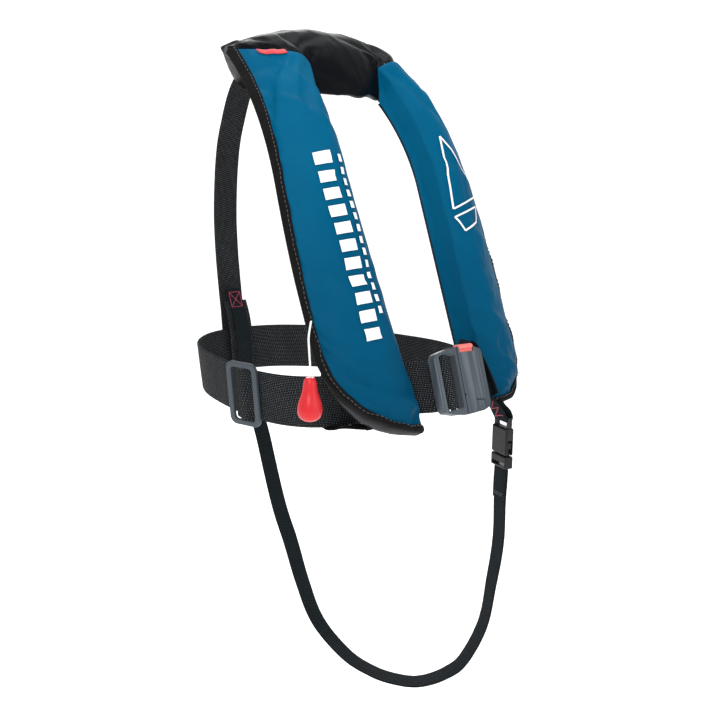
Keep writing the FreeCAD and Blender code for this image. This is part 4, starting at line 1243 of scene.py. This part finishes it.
def patch(name, sheet, corners, sign, lift=1.25, across=6, along=6):
    """Printed patch laid on the front of a lobe, from four corners in mm of width and length."""
    rows = []
    for j in range(along + 1):
        v = j / along
        row = []
        for i in range(across + 1):
            u = i / across
            x = (1 - v) * ((1 - u) * corners[0][0] + u * corners[1][0])
            x += v * ((1 - u) * corners[3][0] + u * corners[2][0])
            s = (1 - v) * ((1 - u) * corners[0][1] + u * corners[1][1])
            s += v * ((1 - u) * corners[3][1] + u * corners[2][1])
            row.append(sheet.at(x, s, lift))
        rows.append(row)
    grid = np.array(rows)
    if sign < 0:
        grid = mirror_grid(grid)
    piece = grid_object(name, grid, M["ink"])
    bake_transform(piece)
    return piece


def bar(name, sheet, start, end, width, sign):
    """Straight printed line between two places on a lobe."""
    ax, ay = end[0] - start[0], end[1] - start[1]
    size = math.hypot(ax, ay)
    px, py = -ay / size * width / 2, ax / size * width / 2
    corners = [(start[0] - px, start[1] - py), (start[0] + px, start[1] + py),
               (end[0] + px, end[1] + py), (end[0] - px, end[1] - py)]
    steps = max(2, int(size / 5))
    return patch(name, sheet, corners, sign, across=max(2, int(width / 4)), along=steps)


WIDE_DASHES = 11
WIDE_FROM = 60.0
WIDE_PITCH = 16.4
SMALL_DASHES = 14
SMALL_FROM = 82.0
SMALL_PITCH = 11.0


def make_graphics():
    """Plain dashes along one lobe and a plain outlined sail on the other."""
    for number in range(WIDE_DASHES):
        s = WIDE_FROM + number * WIDE_PITCH
        x = 87.0 + 5.0 * number / WIDE_DASHES
        bar("wide_dash_%d" % number, right_sheet, (x, s), (x, s + 10.5), 15.0, -1)
    for number in range(SMALL_DASHES):
        s = SMALL_FROM + number * SMALL_PITCH
        bar("small_dash_%d" % number, right_sheet, (74.0, s), (74.0, s + 6.5), 4.5, -1)
    sail = [(66.0, 178.0), (108.0, 192.0), (74.0, 252.0), (66.0, 178.0)]
    hull = [(64.0, 169.0), (100.0, 180.0), (92.0, 163.0), (70.0, 154.0), (64.0, 169.0)]
    for name, outline in (("sail", sail), ("hull", hull)):
        for number, (start, end) in enumerate(zip(outline[:-1], outline[1:])):
            bar("%s_line_%d" % (name, number), left_sheet, start, end, 1.8, 1)


def make_label():
    """Small plain red label sewn on the right lobe beside the yoke seam."""
    rows = []
    for drop in (8.0, 6.0, 4.0, 2.0):
        row = []
        for x in np.linspace(78.0, 96.0, 9):
            share = (x - inner_edge(345.0)) / (outer_edge(345.0) - inner_edge(345.0))
            row.append(right_sheet.at(x, column_span(share)[1] - drop, 1.3))
        rows.append(row)
    grid = mirror_grid(np.array(rows))
    piece = grid_object("red_label", grid, M["label"], uvs=metre_uvs(grid))
    add_thickness(piece, 0.0006, 0.0)
    finish_piece(piece, "red_woven", "woven_tab")


# ---------------------------------------------------------------- moulded parts

FINISHES = {
    "grey_plastic": ("grey", 0.0006), "black_plastic": ("gloss", 0.0005), "button_red": ("coral", 0.0006),
    "toggle_red": ("red", 0.0004), "spring_steel": ("steel", 0.0), "gas_steel": ("zinc", 0.0008),
    "seal": ("rubber", 0.0002), "indicator_green": ("green", 0.0003), "tube_black": ("rubber", 0.0004),
    "whistle_orange": ("orange", 0.0003), "closure": ("panel", 0.0001), "red_woven": ("label", 0.0),
    "black_webbing": ("webbing", 0.0), "black_cloth": ("panel", 0.0), "black_tape": ("tape", 0.0),
    "blue_cover": ("blue", 0.0), "bladder": ("yellow", 0.0), "red_thread": ("red_thread", 0.0),
    "cord_white": ("white", 0.0),
}


def finish_cad_parts():
    """Give each carried-over CAD part its finish and soften its moulded edges."""
    slots = {item["node"]: item["material_slot"] for item in frame["record"]["subparts"]}
    for name, thing in frame["nodes"].items():
        look, radius = FINISHES[slots[name]]
        thing.data.materials.clear()
        thing.data.materials.append(M[look])
        for polygon in thing.data.polygons:
            polygon.use_smooth = True
        if radius > 0 and not thing.hide_render:
            weld = thing.modifiers.new("weld", "WELD")
            weld.merge_threshold = 0.00001
            add_bevel(thing, radius, 3)
        normals = thing.modifiers.new("normals", "WEIGHTED_NORMAL")
        normals.keep_sharp = True


# ---------------------------------------------------------------- stage

def aim(thing, target):
    """Turn a light to look at a point."""
    thing.rotation_euler = (Vector(target) - thing.location).to_track_quat("-Z", "Y").to_euler()


def soft_light(name, place, target, size, power, tint=(1, 1, 1)):
    """Square studio soft box."""
    data = bpy.data.lights.new(name, "AREA")
    data.shape = "RECTANGLE"
    data.size = size[0]
    data.size_y = size[1]
    data.energy = power
    data.color = tint
    light = new_object(name, data)
    light.location = place
    aim(light, target)
    return light


CAMERA_AZIMUTH, CAMERA_HEIGHT, CAMERA_ROLL = 42.84, 9.5, 0.944
CAMERA_TARGET = (0, 0, 0.06)
CAMERA_DISTANCE = 1.0348
CAMERA_LENS = 50.9
CAMERA_SHIFT = (-0.0058, -0.0515)
FLOOR_LEVEL = -0.56
FLOOR_GLOW = 0.42
WORLD_LIGHT = 0.55


def make_stage():
    """Pale floor that rises behind, surroundings seen as white, soft boxes and the camera."""
    rows = []
    for k in range(25):
        t = k / 24
        if t < 0.6:
            rows.append((-3.0 + 6.0 * t / 0.6, FLOOR_LEVEL))
        else:
            angle = (t - 0.6) / 0.4 * math.pi / 2
            rows.append((3.0 + 1.6 * math.sin(angle), FLOOR_LEVEL + 1.6 * (1 - math.cos(angle)) * 2.2))
    turn = Matrix.Rotation(math.radians(-42.8), 3, "Z")
    grid = np.array([[tuple(turn @ Vector((x, y, z))) for x in np.linspace(-6, 6, 9)]
                     for y, z in rows])
    n = Nodes("pale_floor")
    tone = n.noise(n.place(), 3.0, 2.0)
    n.set(colour=n.mix(tone, rgb(0.93, 0.93, 0.93), rgb(0.96, 0.96, 0.96)), rough=0.7)
    n.shader.inputs["Emission Color"].default_value = rgb(1.0, 1.0, 1.0)
    n.shader.inputs["Emission Strength"].default_value = FLOOR_GLOW
    floor = grid_object("floor", grid, n.material)

    world = bpy.data.worlds.new("white_studio")
    bpy.context.scene.world = world
    world.use_nodes = True
    background = world.node_tree.nodes["Background"]
    background.inputs[0].default_value = (1.0, 1.0, 1.0, 1.0)
    seen = world.node_tree.nodes.new("ShaderNodeLightPath")
    level = world.node_tree.nodes.new("ShaderNodeMapRange")
    level.inputs["To Min"].default_value = WORLD_LIGHT
    level.inputs["To Max"].default_value = 1.0
    world.node_tree.links.new(seen.outputs["Is Camera Ray"], level.inputs["Value"])
    world.node_tree.links.new(level.outputs["Result"], background.inputs[1])

    middle = (0, 0, 0.05)
    soft_light("key", (-1.9, -1.3, 1.5), middle, (1.1, 1.1), 36)
    soft_light("front_fill", (0.5, -2.3, 0.6), middle, (1.6, 1.2), 10)
    soft_light("top", (0.2, 0.3, 2.2), middle, (1.4, 1.4), 22)
    soft_light("back_rim", (1.4, 1.8, 0.9), middle, (1.0, 1.6), 14)

    data = bpy.data.cameras.new("camera")
    data.sensor_width = 36.0
    data.lens = CAMERA_LENS
    data.shift_x, data.shift_y = CAMERA_SHIFT
    data.clip_start = 0.05
    camera = new_object("camera", data)
    azimuth, height, roll = [math.radians(a) for a in (CAMERA_AZIMUTH, CAMERA_HEIGHT, CAMERA_ROLL)]
    forward = Vector((math.sin(azimuth) * math.cos(height), math.cos(azimuth) * math.cos(height),
                      -math.sin(height)))
    right = Vector((math.cos(azimuth), -math.sin(azimuth), 0))
    up = right.cross(forward)
    side = right * math.cos(roll) + up * math.sin(roll)
    top = up * math.cos(roll) - right * math.sin(roll)
    place = Vector(CAMERA_TARGET) - forward * CAMERA_DISTANCE
    camera.matrix_world = Matrix(((side.x, top.x, -forward.x, place.x),
                                  (side.y, top.y, -forward.y, place.y),
                                  (side.z, top.z, -forward.z, place.z), (0, 0, 0, 1)))
    bpy.context.scene.camera = camera
    bpy.context.scene.view_settings.view_transform = "Standard"


left_grid, left_sheet = make_lobe("left")
_, right_sheet = make_lobe("right")
make_yoke(left_grid[-1])
make_binding("left", left_sheet)
make_binding("right", right_sheet)
make_belt()
make_back_strap()
make_crotch_strap()
make_crotch_tab()
make_belt_loops()
make_cord()
make_bladders()
make_graphics()
make_label()
finish_cad_parts()
make_stage()
